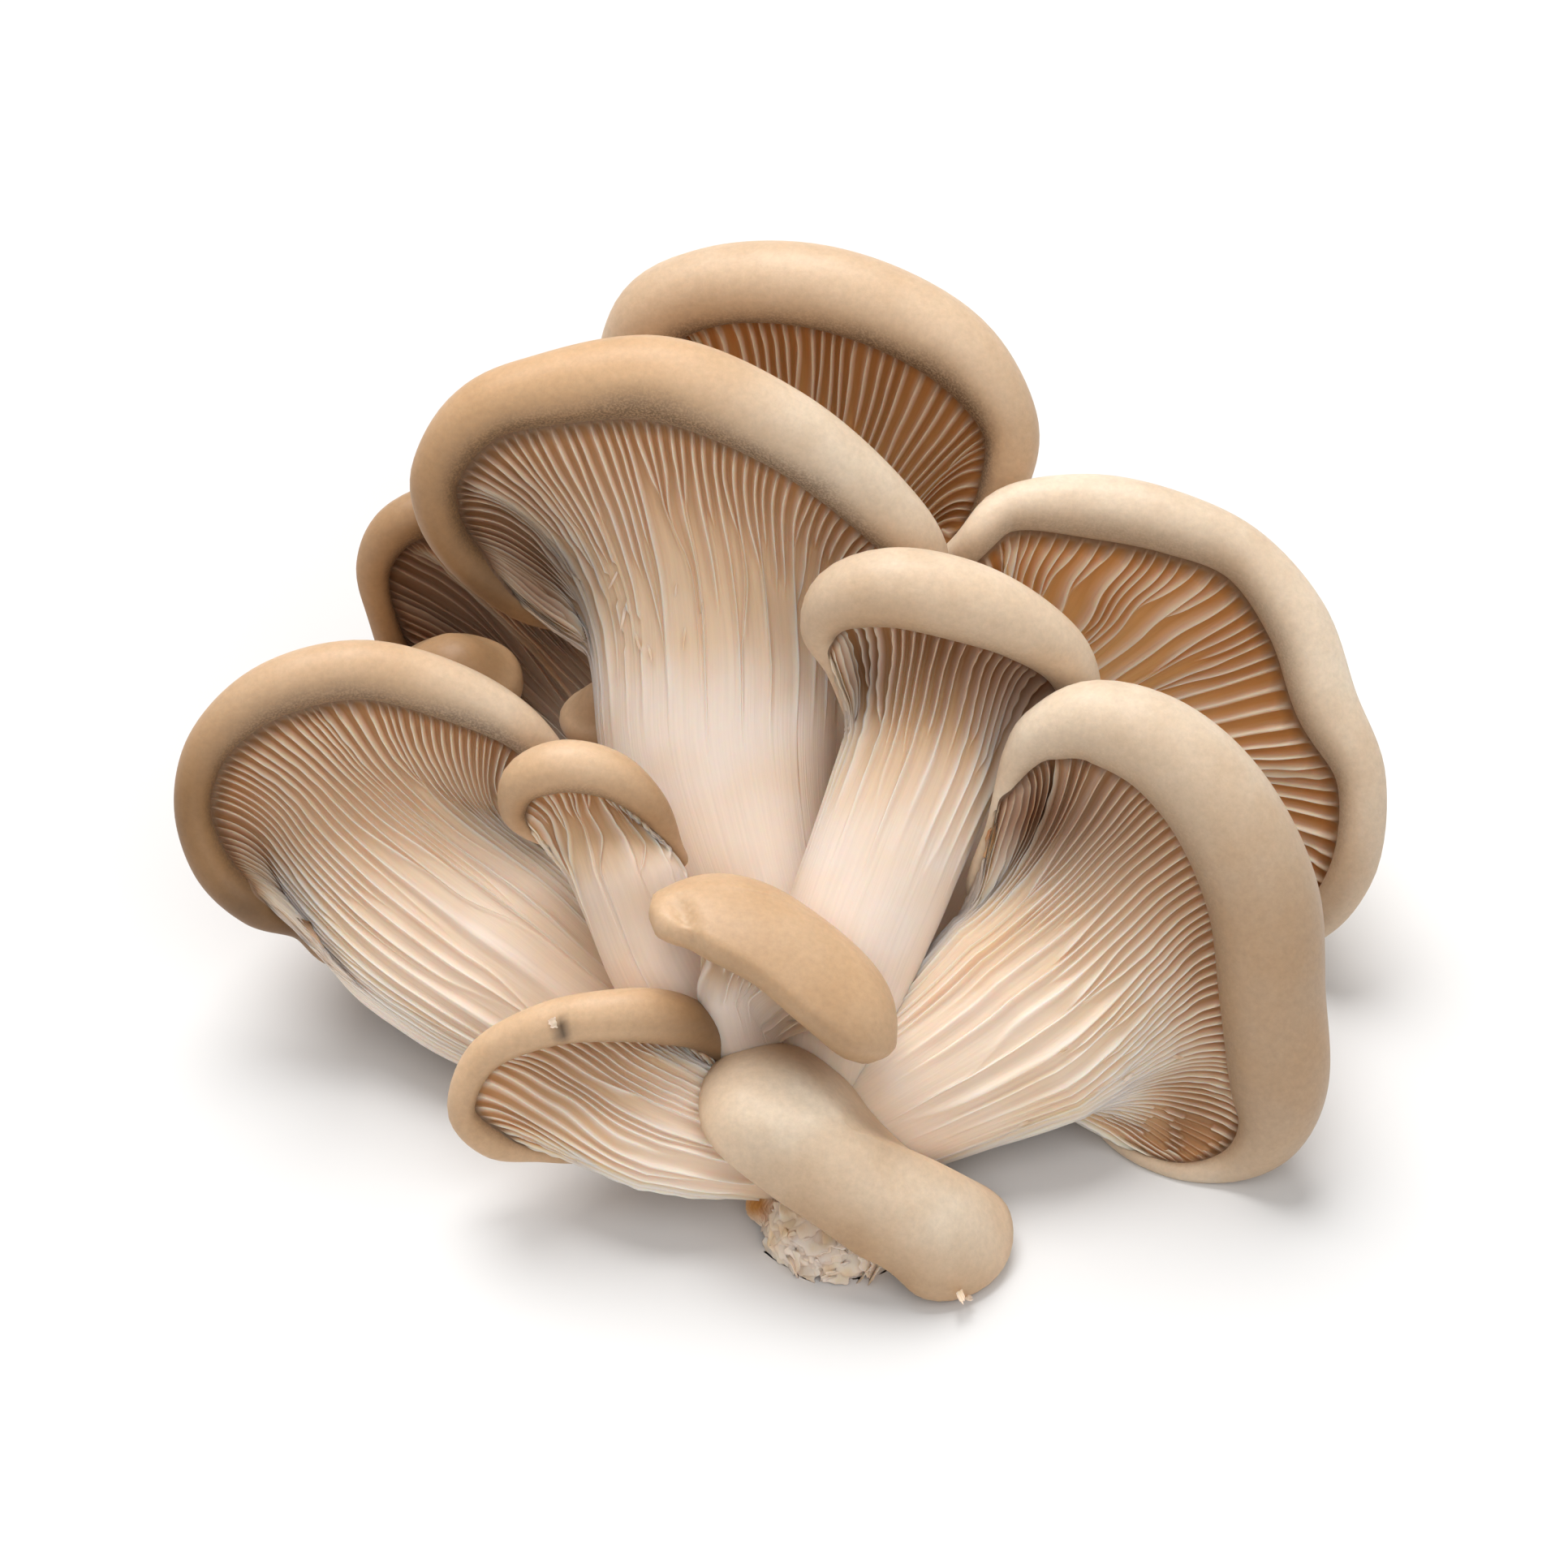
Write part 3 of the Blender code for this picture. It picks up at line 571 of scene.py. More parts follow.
# Puts the colour and the bump on the shader, with the gloss and how far light goes in. Red light
# goes furthest in, as in any pale flesh.
def finishFlesh(tree, shader, colour, heights, look):
    tree.links.new(colour, shader.inputs["Base Color"])
    bump = addNode(tree, "Bump", {"Strength": look["bump"], "Distance": look["bumpDepth"],
                                  "Height": heights})
    tree.links.new(bump.outputs[0], shader.inputs["Normal"])
    for socket, value in (("Roughness", look["roughness"]), ("Specular IOR Level", look["gloss"]),
                          ("Subsurface Weight", look["scatter"]),
                          ("Subsurface Radius", (1.0, 0.5, 0.28)),
                          ("Subsurface Scale", look["scatterDepth"])):
        shader.inputs[socket].default_value = value


def newMaterial(name):
    material = bpy.data.materials.new(name)
    material.use_nodes = True
    shader = material.node_tree.nodes["Principled BSDF"]
    return material, material.node_tree, shader


# Fresh gill and stem flesh: moist, dense threads of fungus. Light goes a little way in, so the blades'
# edges glow pale.
# The hollows between them are painted orange-brown as shade, darker towards the margin, with painted
# shade also under the rolled margin and in deep pockets.
gillLook = {
    "stem": "#efe0d3", "stemWarm": "#e9cdae", "crest": "#f5dfc8",
    # valleyLow, valleyHigh, orangeLow and orangeHigh are painted shade between the blades, seam is
    # painted shade under the rolled margin, brown is painted shade in deep pockets
    "valleyLow": "#ecd8c0", "valleyHigh": "#b98c64", "orangeLow": "#e3b67e",
    "orangeHigh": "#ce9254", "brown": "#8d6c52", "seam": "#6f543d",
    "patches": 70.0,                        # to a metre
    "streaks": (1.6, 1.6, 0.07),            # on the grain: across, across and along the fibres
    "roughness": 0.5, "gloss": 0.3, "bump": 0.25, "bumpDepth": 0.0003,
    "scatter": 0.6, "scatterDepth": 0.0016,
}


def makeGillFlesh():
    look = gillLook
    material, tree, shader = newMaterial("freshGillFlesh")
    along, valleyShade, warmth, paintedGillShade = (readAttribute(tree, name)
                                   for name in ("along", "valleyShade", "warm", "paintedGillShade"))
    place = addNode(tree, "TexCoord").outputs["Object"]
    grain = readAttribute(tree, "grain", "Vector")
    streaks = addNode(tree, "Mapping", {"Vector": grain, "Scale": look["streaks"]}).outputs[0]
    fibres = addNoise(tree, streaks, 1.0, 3.0)
    high = mapRange(tree, along, 1.25, 2.0, smooth=True)
    patches = mapRange(tree, addNoise(tree, place, look["patches"], 2.0), 0.42, 0.68, 0.0, 0.6)
    stem = mixColours(tree, patches, look["stem"], look["stemWarm"])
    crest = mixColours(tree, high, stem, look["crest"])
    low = mixColours(tree, warmth, look["valleyLow"], look["orangeLow"])
    deep = mixColours(tree, warmth, look["valleyHigh"], look["orangeHigh"])
    # Painted shade: the valleys between blades darken to tan and orange-brown, most near the margin
    flesh = mixColours(tree, valleyShade, crest, mixColours(tree, high, low, deep))
    # Painted shade: a dark band on the gills where they run under the rolled margin
    creaseShaded = mixColours(tree, mapRange(tree, along, 1.9, 1.985, 0.0, 0.85), flesh, look["seam"])
    # Painted shade: gills darkened towards brown in pockets and behind other caps, where little light
    # reaches
    brownAndShade = mixColours(tree, paintedGillShade, creaseShaded, look["brown"], "MULTIPLY")
    streaked = scaleColour(tree, brownAndShade, mapRange(tree, fibres, 0.3, 0.7, 0.96, 1.03))
    finishFlesh(tree, shader, streaked, fibres, look)
    return material


# Cap skin: a dry, satin skin like fine kid leather, fawn where it is stretched, and grey-brown with a
# fine down along the edge that curls in to the gills; that dark edge is partly painted shade where the
# margin turns under.
# Painted shade also darkens the roll towards its curled-in side and the bands' sides turned from the
# light, and pale spots are partly painted highlight.
capLook = {
    # Of these colours: the near-black one paints deep shade, the darker tan for the curled-in side paints
    # shade, the grey-brown edge is dark down and painted shade, brown is partly tan skin and partly
    # painted shade, pale is partly paler skin and partly painted highlight
    "warm": "#d1a87d", "pale": "#e4d4be", "shade": "#b48a5c", "edge": "#5f4935", "brown": "#94704b",
    "curledInShade": "#a37c52", "paintedDeepShade": "#3a2a1e",
    "patches": 90.0, "freckles": 1100.0, "pores": 2200.0, "down": 3500.0,   # to a metre
    "edgeWander": 25.0,                     # degrees that the downy edge strays by
    "roughness": 0.48, "gloss": 0.35, "bump": 0.12, "bumpDepth": 0.0002,
    "scatter": 0.25, "scatterDepth": 0.002,
}


def makeCapSkin():
    look = capLook
    material, tree, shader = newMaterial("dryCapSkin")
    turn, pale, downAndShade, brown, paintedDeepShade = (readAttribute(tree, name)
                                      for name in ("turn", "pale", "downAndShade", "brown", "paintedDeepShade"))
    place = addNode(tree, "TexCoord").outputs["Object"]
    patches = addNoise(tree, place, look["patches"], 3.0)
    # Pale: paler skin, and painted highlight where pale spots are set
    plain = mixColours(tree, pale, look["warm"], look["pale"])
    # Brown spots: partly the skin's own tan, partly painted shade on the sides of the bands turned from
    # the light and in creases
    brownAndShade = mixColours(tree, brown, plain, look["brown"])
    blotches = mapRange(tree, patches, 0.35, 0.7, 0.0, 0.35)
    mottled = mixColours(tree, blotches, brownAndShade, look["shade"])
    stray = mapRange(tree, patches, 0.0, 1.0, -look["edgeWander"], look["edgeWander"])
    turned = addNode(tree, "Math", {0: turn, 1: stray}, operation="ADD").outputs[0]
    # Painted shade: the roll darkens towards its curled-in side, where it turns under the cap
    curledInShadeShare = mapRange(tree, turned, 320.0, 200.0, 0.0, 0.3, smooth=True)
    rounded = mixColours(tree, curledInShadeShare, mottled, look["curledInShade"])
    # The dark edge along the inner margin: the grey-brown down, and painted shade where the margin turns
    # in to the gills
    dark = mapRange(tree, turned, 262.0, 196.0, smooth=True)
    speckle = mapRange(tree, addNoise(tree, place, look["down"], 1.0), 0.35, 0.6, 0.55, 1.0)
    for share in (speckle, downAndShade):
        dark = addNode(tree, "Math", {0: dark, 1: share}, operation="MULTIPLY").outputs[0]
    edged = mixColours(tree, dark, rounded, look["edge"])
    freckles = addNoise(tree, place, look["freckles"], 4.0, Roughness=0.7)
    dappled = scaleColour(tree, edged, mapRange(tree, freckles, 0.3, 0.7, 0.91, 1.06))
    # Painted deep shade: near-black spots on the shadowed low parts of some bands and in the slit by the
    # chip
    marked = mixColours(tree, paintedDeepShade, dappled, look["paintedDeepShade"])
    finishFlesh(tree, shader, marked, addNoise(tree, place, look["pores"], 2.0), look)
    return material


# Torn mushroom flesh: dull, fibrous and cream, with amber where it has dried.
tornLook = {
    "fresh": "#fbe6d2", "creased": "#f0cfac", "dried": "#b07a3e",
    "patches": 260.0, "strands": (2600, 500, 1100),     # to a metre
    "roughness": 0.75, "gloss": 0.25, "bump": 0.3, "bumpDepth": 0.0003,
    "scatter": 0.3, "scatterDepth": 0.0015,
}


def makeTornFlesh():
    look = tornLook
    material, tree, shader = newMaterial("tornFungusFlesh")
    place = addNode(tree, "TexCoord").outputs["Object"]
    strands = addNode(tree, "Mapping", {"Vector": place, "Scale": look["strands"]}).outputs[0]
    fibres = addNoise(tree, strands, 1.0, 3.0)
    patches = mapRange(tree, addNoise(tree, place, look["patches"], 2.0), 0.45, 0.68)
    flesh = mixColours(tree, patches, look["fresh"], look["creased"])
    dried = mixColours(tree, readAttribute(tree, "brown"), flesh, look["dried"])
    finishFlesh(tree, shader, dried, fibres, look)
    return material


gillFlesh = makeGillFlesh()
capSkin = makeCapSkin()
tornFlesh = makeTornFlesh()
print("materials made")

# Each fruit body, in mm: stem (across, up, out, half width, half depth), rim (across, up, out, roll
# radius) and crown. Places along it are 0 at the foot, 1 at the neck and 2 at the margin. Places
# round it are 0 to 1 from the rim's first point on, as (at, wide, more).
# hollow, sweep       handles of the gills' curve for its length: at the margin, at the stem
# gillGap, gillHeight from blade to blade near the margin, and how high blades stand there
# stemBare, stemRidge where blades begin on the stem, and how high; rise is how soon they grow
# fade, shortStarts   where long blades begin, and those between them, in two rounds
# lean, wander        how far blades lean over, and how far long ones stray sideways
# arcShare            how evenly blades spread round the stem, instead of by the rim's bearing
# deeper, crowded, lower  places round it where hollow, the count and the height of blades differ
# waves               wavy blades round a place, from a place along it
# tears               patches of broken blades: (across, up, size, share left)
# relax, puff         steps that even out the cap, and how far it is then puffed up
# dents               hollows in the cap, or swellings below 0: (across, up, out, size, depth)
# pale, downAndShade, warm    shares of pale skin, of dark down with painted shade along the curled-in edge, and of orange between the blades
# paleSkinAndHighlight, brown, paintedDeepShadeSpots on the cap, ochre, paintedGillShade on the gills:
# (across, up, out, size, strength)
# Pale spots are partly paler skin and partly painted highlight, brown spots partly tan skin and partly
# painted shade, and deep shade and gill shade spots are painted shade
usual = {
    "hollow": 0.36, "sweep": 0.42, "stemRows": 18, "gillRows": 54, "gillGap": 1.35, "gillHeight": 1.5,
    "rise": 0.75, "fade": (0.2, 0.7), "shortStarts": ((0.9, 1.4), (1.3, 1.7)),
    "stemRidge": 0.3, "stemBare": 0.75, "lean": 0.6, "pale": 0.3, "downAndShade": 0.5, "warm": 0.3,
    "relax": 0, "puff": 0.0, "arcShare": 0.35, "wander": 1.0,
}

lowerFront = {
    "stem": [(4, -46, -4, 5, 5), (5, -46, 0, 5, 5), (7, -46.5, 4, 5, 5)],
    "rim": [(-6.8, -41.6, 17.5, 3.4), (-1.2, -47, 17, 3.3), (6.2, -52.2, 16, 3.2),
            (12.5, -56.6, 14.2, 3.3), (18.2, -60.2, 12.3, 3.4), (23, -59.9, 10.2, 2.6),
            (26, -56.8, 8, 2), (25.6, -52.4, 6.6, 1.9), (21.4, -50, 6, 2),
            (15.5, -47.5, 6.5, 2.2), (9.5, -42.2, 7.3, 2.3),
            (5, -37.5, 8.5, 2.7), (-0.5, -34.3, 10.5, 2.8), (-6.5, -36, 13, 3)],
    "crown": (7.5, -43, 19), "hollow": 0.12, "gillHeight": 1.0, "stemRows": 6, "gillRows": 30,
    "relax": 150, "puff": 3.0,
    "dents": [(13, -59, 13, 2.6, 1.0), (15, -60.8, 12, 2, 0.6), (12, -47.5, 15, 5, 0.8),
              (22, -57, 12, 5, -0.7)],
    # Pale spots paint the highlights on the middle and right end of this cap; its brown spots are partly
    # tan skin and partly painted shade along the edges and in the crease
    "pale": 0.35, "downAndShade": 0.2, "paleSkinAndHighlight": [(0, -40, 18, 9, 0.75), (12, -50, 15, 6, 0.4),
                                            (21, -55, 13, 6, 0.75)],
    "brown": [(3, -32.5, 14, 5, 0.5), (-3, -48.5, 18, 4, 0.3), (2, -53, 16, 4, 0.5),
              (8, -57, 15, 4.5, 0.6), (14, -62, 12, 4.5, 0.6), (21, -64, 10, 4, 0.4),
              (13, -43, 14, 4, 0.3)],
}
upperFront = {
    "stem": [(3, -44, 1, 4, 3.5), (-1, -38, 4, 4, 3.3), (-5, -31, 9.5, 4, 3.3),
             (-6.5, -25.5, 14, 4.3, 3.5)],
    "rim": [(-13.5, -15.8, 19, 3.2), (-8.5, -18.8, 22, 3), (-2, -22.3, 23.5, 3),
            (4, -27.2, 23.5, 3.1), (9.8, -30.8, 21, 3.7), (11.5, -28.5, 16, 2.8),
            (8, -23.5, 12.5, 2), (2, -18.5, 11.5, 2), (-5, -14.2, 12, 2),
            (-11, -13.4, 14.5, 2.4)],
    "crown": (3, -16.5, 18), "gillHeight": 1.1, "stemRows": 14, "gillRows": 36,
    "relax": 60, "puff": 1.0, "paintedGillShade": [(-3, -29, 10, 7, 0.4), (3, -32, 12, 5, 0.3)],
    "dents": [(-12.8, -14.5, 22, 1.2, 0.8), (-12.4, -16, 22.5, 1.2, 1.0),
              (-12, -17.6, 23, 1.2, 1.0), (-11.6, -19.4, 23, 1.2, 0.9),
              (-15, -18.2, 21, 1.6, -0.5)],
    "brown": [(-5, -22, 22, 9, 0.5), (5, -30, 22, 6, 0.5), (9, -34, 20, 5, 0.4)],
}
lowLeft = {
    "stem": [(3, -46, 2, 6, 5), (-3, -45, 6, 6.5, 4.6), (-9, -43.5, 9, 7.6, 4.2),
             (-15, -41.4, 10, 8.8, 4)],
    "rim": [(-30.1, -45.4, 5, 1.2), (-36, -44.2, 8, 1.9), (-39.8, -40.2, 12, 1.7),
            (-37, -33.5, 14.5, 2.2), (-29, -29.6, 17, 2.8), (-20.3, -28.5, 18, 3.3),
            (-14.5, -28.8, 16, 3.4), (-10.3, -30.2, 12.5, 2.7), (-8.2, -33, 8.5, 1.6),
            (-8.5, -38, 2.5, 1.2), (-16, -43, 1, 1.2), (-24, -45.4, 2, 1.2)],
    "crown": (-25, -34, 4), "gillHeight": 1.2, "hollow": 0.3,
    "warm": 0.6, "stemBare": 0.0, "stemRidge": 0.9, "fade": (0.0, 0.1),
    "shortStarts": ((0.0, 0.3), (0.5, 1.3)), "lean": 0.8, "stemRows": 30, "arcShare": 0.85, "wander": 0.5,
    "brown": [(-10, -28, 14, 8, 1.0), (-40, -42, 10, 8, 0.3)], "paintedGillShade": [(-24, -34, 14, 9, 0.2)],
    "paintedDeepShadeSpots": [(-8, -30, 14, 4.5, 0.4), (-27.4, -29.6, 20, 0.9, 0.8), (-27.3, -31, 19.5, 0.9, 0.8)],
}
frontRight = {
    "stem": [(5, -44, 0, 7, 6), (13, -39, 1, 10, 7), (21.5, -33.8, 2, 12.3, 7.8),
             (29, -28.8, 2, 14.5, 8.3)],
    "rim": [(23.6, -12.6, 2, 1.2), (26, -5.5, 8.5, 1.2), (27.4, 0, 11.8, 1.4),
            (29.2, 3.6, 14, 2.3), (32.2, 6.3, 15.8, 3.6), (38.5, 7.7, 17, 5.2), (46.8, 4.5, 17, 6.1),
            (54, -3, 15.5, 6.7), (59, -14, 12.5, 7), (60.2, -26, 9, 6.6),
            (61, -36.5, 5, 6.2), (59.8, -43, 2, 4.2), (55.2, -47, -1.2, 2.1),
            (48, -47.6, -2.6, 1), (41, -44, -5, 1), (36, -37, -10.5, 1.2),
            (31, -27, -12, 1.2), (25.5, -18, -7.5, 1)],
    "crown": (47, -18, -17), "gillGap": 1.2, "pale": 0.9, "downAndShade": 0.3, "lean": 0.8,
    "gillHeight": 1.8, "shortStarts": ((0.2, 0.7), (0.9, 1.3)), "stemRidge": 0.9,
    "deeper": [(0.03, 0.05, 0.9), (0.56, 0.05, 0.5)], "wander": 0.6,
    "crowded": [(0.03, 0.05, 1.2), (0.56, 0.06, 0.6)], "ochre": [(49, -41, -6, 6, 0.5)],
    "tears": [(50.5, -43.5, 2.6, 0.35), (46, -43, 1.8, 0.3)],
    "paintedGillShade": [(49, -42, -6, 5, 0.5), (36, -2, 8, 9, 0.5), (29, -4, 4, 6, 0.7)],
    "warm": 0.35, "stemBare": 0.15, "brown": [(64, -20, 8, 22, 0.7), (62, -42, 3, 12, 0.4)],
}
middleRight = {
    "stem": [(4, -42, 1, 6, 5.5), (7, -24, 4, 8.6, 6), (12, -10, 4.5, 9.5, 6.6),
             (16.8, 2, 4, 9.8, 7)],
    "rim": [(8.3, 8.6, 1.5, 0.9), (6.4, 14.1, 7.5, 1.3), (4.4, 19, 11, 2.4),
            (7.2, 22.9, 14, 4.2), (13.7, 24.2, 16, 5), (22, 22.6, 16, 5.1),
            (29.2, 19.6, 14, 4.4), (34.9, 15.1, 10, 3.4), (36.5, 9, 4, 2.2),
            (32, 5, -3.5, 1.5), (24, 6.5, -8.5, 1.3), (15, 7, -9, 1.2), (9, 7, -4.5, 1)],
    "crown": (20, 16, -7), "gillGap": 1.4, "gillHeight": 1.8, "lean": 0.7,
    "shortStarts": ((0.4, 0.9), (0.8, 1.3)), "stemRidge": 1.0, "stemBare": 0.55, "rise": 0.5,
    "wander": 0.3, "deeper": [(0.03, 0.06, 0.8)], "crowded": [(0.03, 0.05, 0.8)],
    "paintedGillShade": [(18, 17, 8, 9, 0.55), (31, 12, 6, 9, 0.7), (9, 13, 1, 5, 0.8)], "pale": 0.7, "downAndShade": 0.35,
    "warm": 0.8, "brown": [(9, 20, 14, 8, 0.3)],
}
slimLeft = {
    "stem": [(1, -41, 1, 5, 4.5), (-7, -34, 3, 5.5, 4), (-14.5, -24, 6.5, 6.2, 4.8),
             (-18.8, -12, 7, 7, 5)],
    "rim": [(-29.8, -6.6, 5, 0.9), (-33.1, -4.2, 8, 1.4), (-33.1, -1.1, 10, 2.3),
            (-31.1, 1.1, 11.5, 3), (-26.6, 2.2, 12.5, 3.3), (-20.9, 0.9, 12, 3),
            (-16.3, -2.8, 10.5, 2.1), (-13.6, -7.5, 7, 1.1), (-13, -9.5, 3.5, 0.9),
            (-18, -7.5, 0.8, 0.9), (-25.5, -6.5, 1.2, 0.9)],
    "crown": (-23, -2, 0.5), "gillGap": 1.1, "gillHeight": 1.1, "downAndShade": 0.8,
    "warm": 0.6, "brown": [(-34, -3, 8, 5, 0.6), (-15, -3, 9, 6, 0.6)],
    "paintedGillShade": [(-20, -12, 10, 10, 0.25)], "stemRidge": 0.5,
}
frontLeft = {
    "stem": [(-1, -42, -1, 7, 6), (-13, -36, -5, 9.5, 6.3), (-25, -28.5, -7, 12, 7),
             (-34, -22, -7.9, 14.2, 7.5), (-41, -17, -8.4, 14.6, 7.3)],
    "rim": [(-59.4, -17.2, -9, 2.0), (-65.3, -15.1, -3, 2.4), (-70.5, -10.2, -1, 2.4),
            (-72.9, -2.5, 1, 2.3), (-70.5, 5.4, 3, 2.8), (-63, 11.6, 5, 3.5),
            (-52, 14.1, 6, 3.7), (-40.5, 11.2, 5, 3.6), (-31.6, 6.2, 3, 2.7),
            (-26.8, -1, -4, 1.7), (-28.5, -9, -15, 1.4), (-37, -17, -20, 1.4),
            (-48, -22, -19, 1.5), (-55.5, -21, -14, 1.5)],
    "crown": (-50, -5, -24), "gillGap": 1.1, "downAndShade": 0.8, "fade": (0.0, 0.5), "hollow": 0.5, "lean": 0.5,
    "sweep": 0.6, "shortStarts": ((0.3, 0.8), (0.8, 1.4)), "gillHeight": 1.8, "stemRidge": 1.0,
    "rise": 0.5, "wander": 0.5, "deeper": [(0.05, 0.08, 0.3)], "crowded": [(0.04, 0.06, 1.0)],
    "lower": [(0.01, 0.05, -0.9)], "paintedGillShade": [(-67, -11, -6, 6, 0.35), (-33, 2, -2, 8, 0.2)],
    "paleSkinAndHighlight": [(-35, 8, 4, 12, 0.4)], "stemBare": 0.25,
    # The brown and deep shade spots on the left and lower side of this cap are painted shade, on the side
    # turned from the light
    "warm": 0.35, "brown": [(-72, -6, -2, 18, 0.9), (-66, -18, -4, 15, 1.0)],
    "paintedDeepShadeSpots": [(-66, -15, -1, 5, 0.5), (-60, -18, -6, 4, 0.4), (-73, -4, 0, 7, 0.2)],
}
tallMiddle = {
    "stem": [(2, -42, -2, 7, 6), (-1, -24, -5.5, 9.5, 7.5), (-5.5, -8, -8, 12.5, 8.5),
             (-8, 4, -9, 14.6, 9), (-8.3, 14, -9.3, 15.3, 8.6)],
    "rim": [(-25.5, 20, -13.5, 1.9), (-31.6, 22, -6.5, 2.2), (-36.6, 25.2, -2.5, 2.3),
            (-40.5, 29, 0.5, 2.4), (-42.8, 33.6, 3.5, 2.7), (-42.8, 38.8, 6, 3.1),
            (-38.5, 45, 8.6, 3.8), (-31.2, 48.2, 10, 4.4), (-15.4, 50, 12, 5.4),
            (-0.4, 44.1, 11, 5.1), (11.4, 34.9, 7, 4.4), (17.2, 27, 2, 3.4), (14, 19, -8.5, 2),
            (6, 16.5, -18, 1.6), (-7, 16, -22, 1.6), (-20, 17, -18.5, 1.6)],
    "crown": (-10, 31, -22), "gillHeight": 1.7, "gillGap": 1.25, "hollow": 0.45, "sweep": 0.5,
    "shortStarts": ((0.95, 1.3), (1.25, 1.6)), "stemBare": 0.7, "stemRidge": 0.9, "rise": 0.5,
    "wander": 0.4, "fade": (0.3, 0.7), "lean": 0.7,
    "deeper": [(0.07, 0.09, 0.8)], "crowded": [(0.07, 0.09, 0.8)],
    "tears": [(-20.5, 24.5, 1.8, 0.1), (-18, 18.5, 2.0, 0.15), (-12.5, 28, 1.1, 0.0),
              (-13.1, 22.3, 1.4, 0.1)],
    "pale": 0.1, "downAndShade": 0.9, "warm": 0.4, "paleSkinAndHighlight": [(2, 43, 12, 12, 0.7), (14, 33, 6, 10, 0.7)],
    "relax": 20,
    # The gill shade spots and the brown and deep shade spots on the left of this cap are painted shade
    "paintedGillShade": [(-37, 31, -4, 11, 0.5), (-31, 23, -14, 7, 0.8), (13, 35, 3, 9, 0.3)],
    "brown": [(-43, 36, 4, 12, 0.6), (-36, 25, -1, 12, 0.9), (-33, 21, -5, 8, 0.6)],
    "paintedDeepShadeSpots": [(-36, 24, -1, 6, 0.45)],
}
button = {
    "stem": [(0, -40, -3, 4, 4), (-8, -23, -15, 2.6, 2.6), (-17.5, -5, -23, 2.5, 2.5),
             (-21.6, 6.5, -22.7, 2.4, 2.4)],
    "rim": [(-18.1, 8.3, -20.2, 1.7), (-19.6, 10.5, -22.8, 1.7), (-23.5, 10.5, -23.6, 1.7),
            (-25.9, 8.3, -21.8, 1.8), (-24.4, 6.1, -19.2, 1.8), (-20.5, 6.1, -18.4, 1.8)],
    "crown": (-22.7, 12, -17.8), "gillGap": 0.9, "gillHeight": 0.6, "gillRows": 20,
}
smallLeft = {
    "stem": [(0, -40, -3, 4, 4), (-12, -27, -16, 3.2, 3), (-28, -9, -23, 3, 3),
             (-39.8, 9.5, -20.4, 3, 3)],
    "rim": [(-34.7, 10.9, -15.1, 2.1), (-35.2, 14.8, -19.3, 2.2), (-40.7, 16.4, -22.2, 2.2),
            (-45.9, 14.1, -20.9, 2.2), (-45.4, 10.2, -16.7, 2.1), (-39.9, 8.6, -13.8, 2)],
    "crown": (-41.3, 17.2, -13.6), "gillGap": 0.9, "gillHeight": 0.8, "gillRows": 20,
    # Its brown spot is partly tan skin and partly painted shade, as it sits in the shadow of the caps in
    # front
    "brown": [(-40, 14, -15, 12, 0.9)],
}
backRight = {
    "stem": [(6, -42, -3, 6, 5.5), (13, -26, -12, 7.5, 6), (20, -11, -21, 8.5, 6),
             (26, 2, -26, 9.5, 7)],
    "rim": [(23.2, 29.8, -6, 2.2), (28.2, 34, -6, 2.9), (38.2, 34.2, -7, 4),
            (48.2, 32.1, -7, 3.9), (56.9, 28.1, -8, 3.5), (63.4, 19.8, -9, 4),
            (66.9, 9.8, -10, 4), (71.2, 0.5, -11, 3.1), (70, -11, -14, 2.9),
            (63, -18, -21.5, 2.3), (50, -14.5, -31.6, 1.8), (36, -2, -39.5, 1.6),
            (22, 8.5, -37.5, 1.6), (15.5, 20, -20, 1.7)],
    "crown": (46, 5, -43), "gillGap": 1.5, "lean": 0.5, "pale": 0.9, "downAndShade": 0.35,
    "stemRows": 8, "gillRows": 46, "relax": 20,
    "waves": [{"at": 0.12, "wide": 0.12, "size": 0.06, "ripples": 2.6, "from": 1.45}],
    "wander": 0.7, "warm": 1.0, "brown": [(70, -12, -12, 14, 0.4)],
}
backTop = {
    "stem": [(4, -42, -3, 5, 5), (4, -22, -19, 6, 5.5), (2, 2, -29, 6.5, 5.5),
             (2, 19, -34, 8, 6)],
    "rim": [(-17, 56.8, -18, 4.6), (-9.2, 61.2, -15, 4.9), (2, 61.6, -13, 5.2),
            (12.8, 58.6, -12, 5.2), (22, 53, -12, 4.8), (27.7, 44.7, -13, 3.6),
            (27.3, 37.5, -15, 3), (23.5, 30, -21, 2.4), (15, 26, -34, 1.8),
            (2, 27, -43, 1.6), (-11, 32, -41, 1.8), (-19.5, 45, -30, 3)],
    "crown": (4, 47, -42), "gillGap": 1.4, "pale": 0.5, "downAndShade": 1.0, "stemRows": 10,
    "warm": 1.0, "brown": [(28, 42, -13, 10, 0.3), (-14, 57, -13, 8, 0.3)],
    "paintedGillShade": [(10, 45, -25, 25, 0.3)], "wander": 0.6,
}
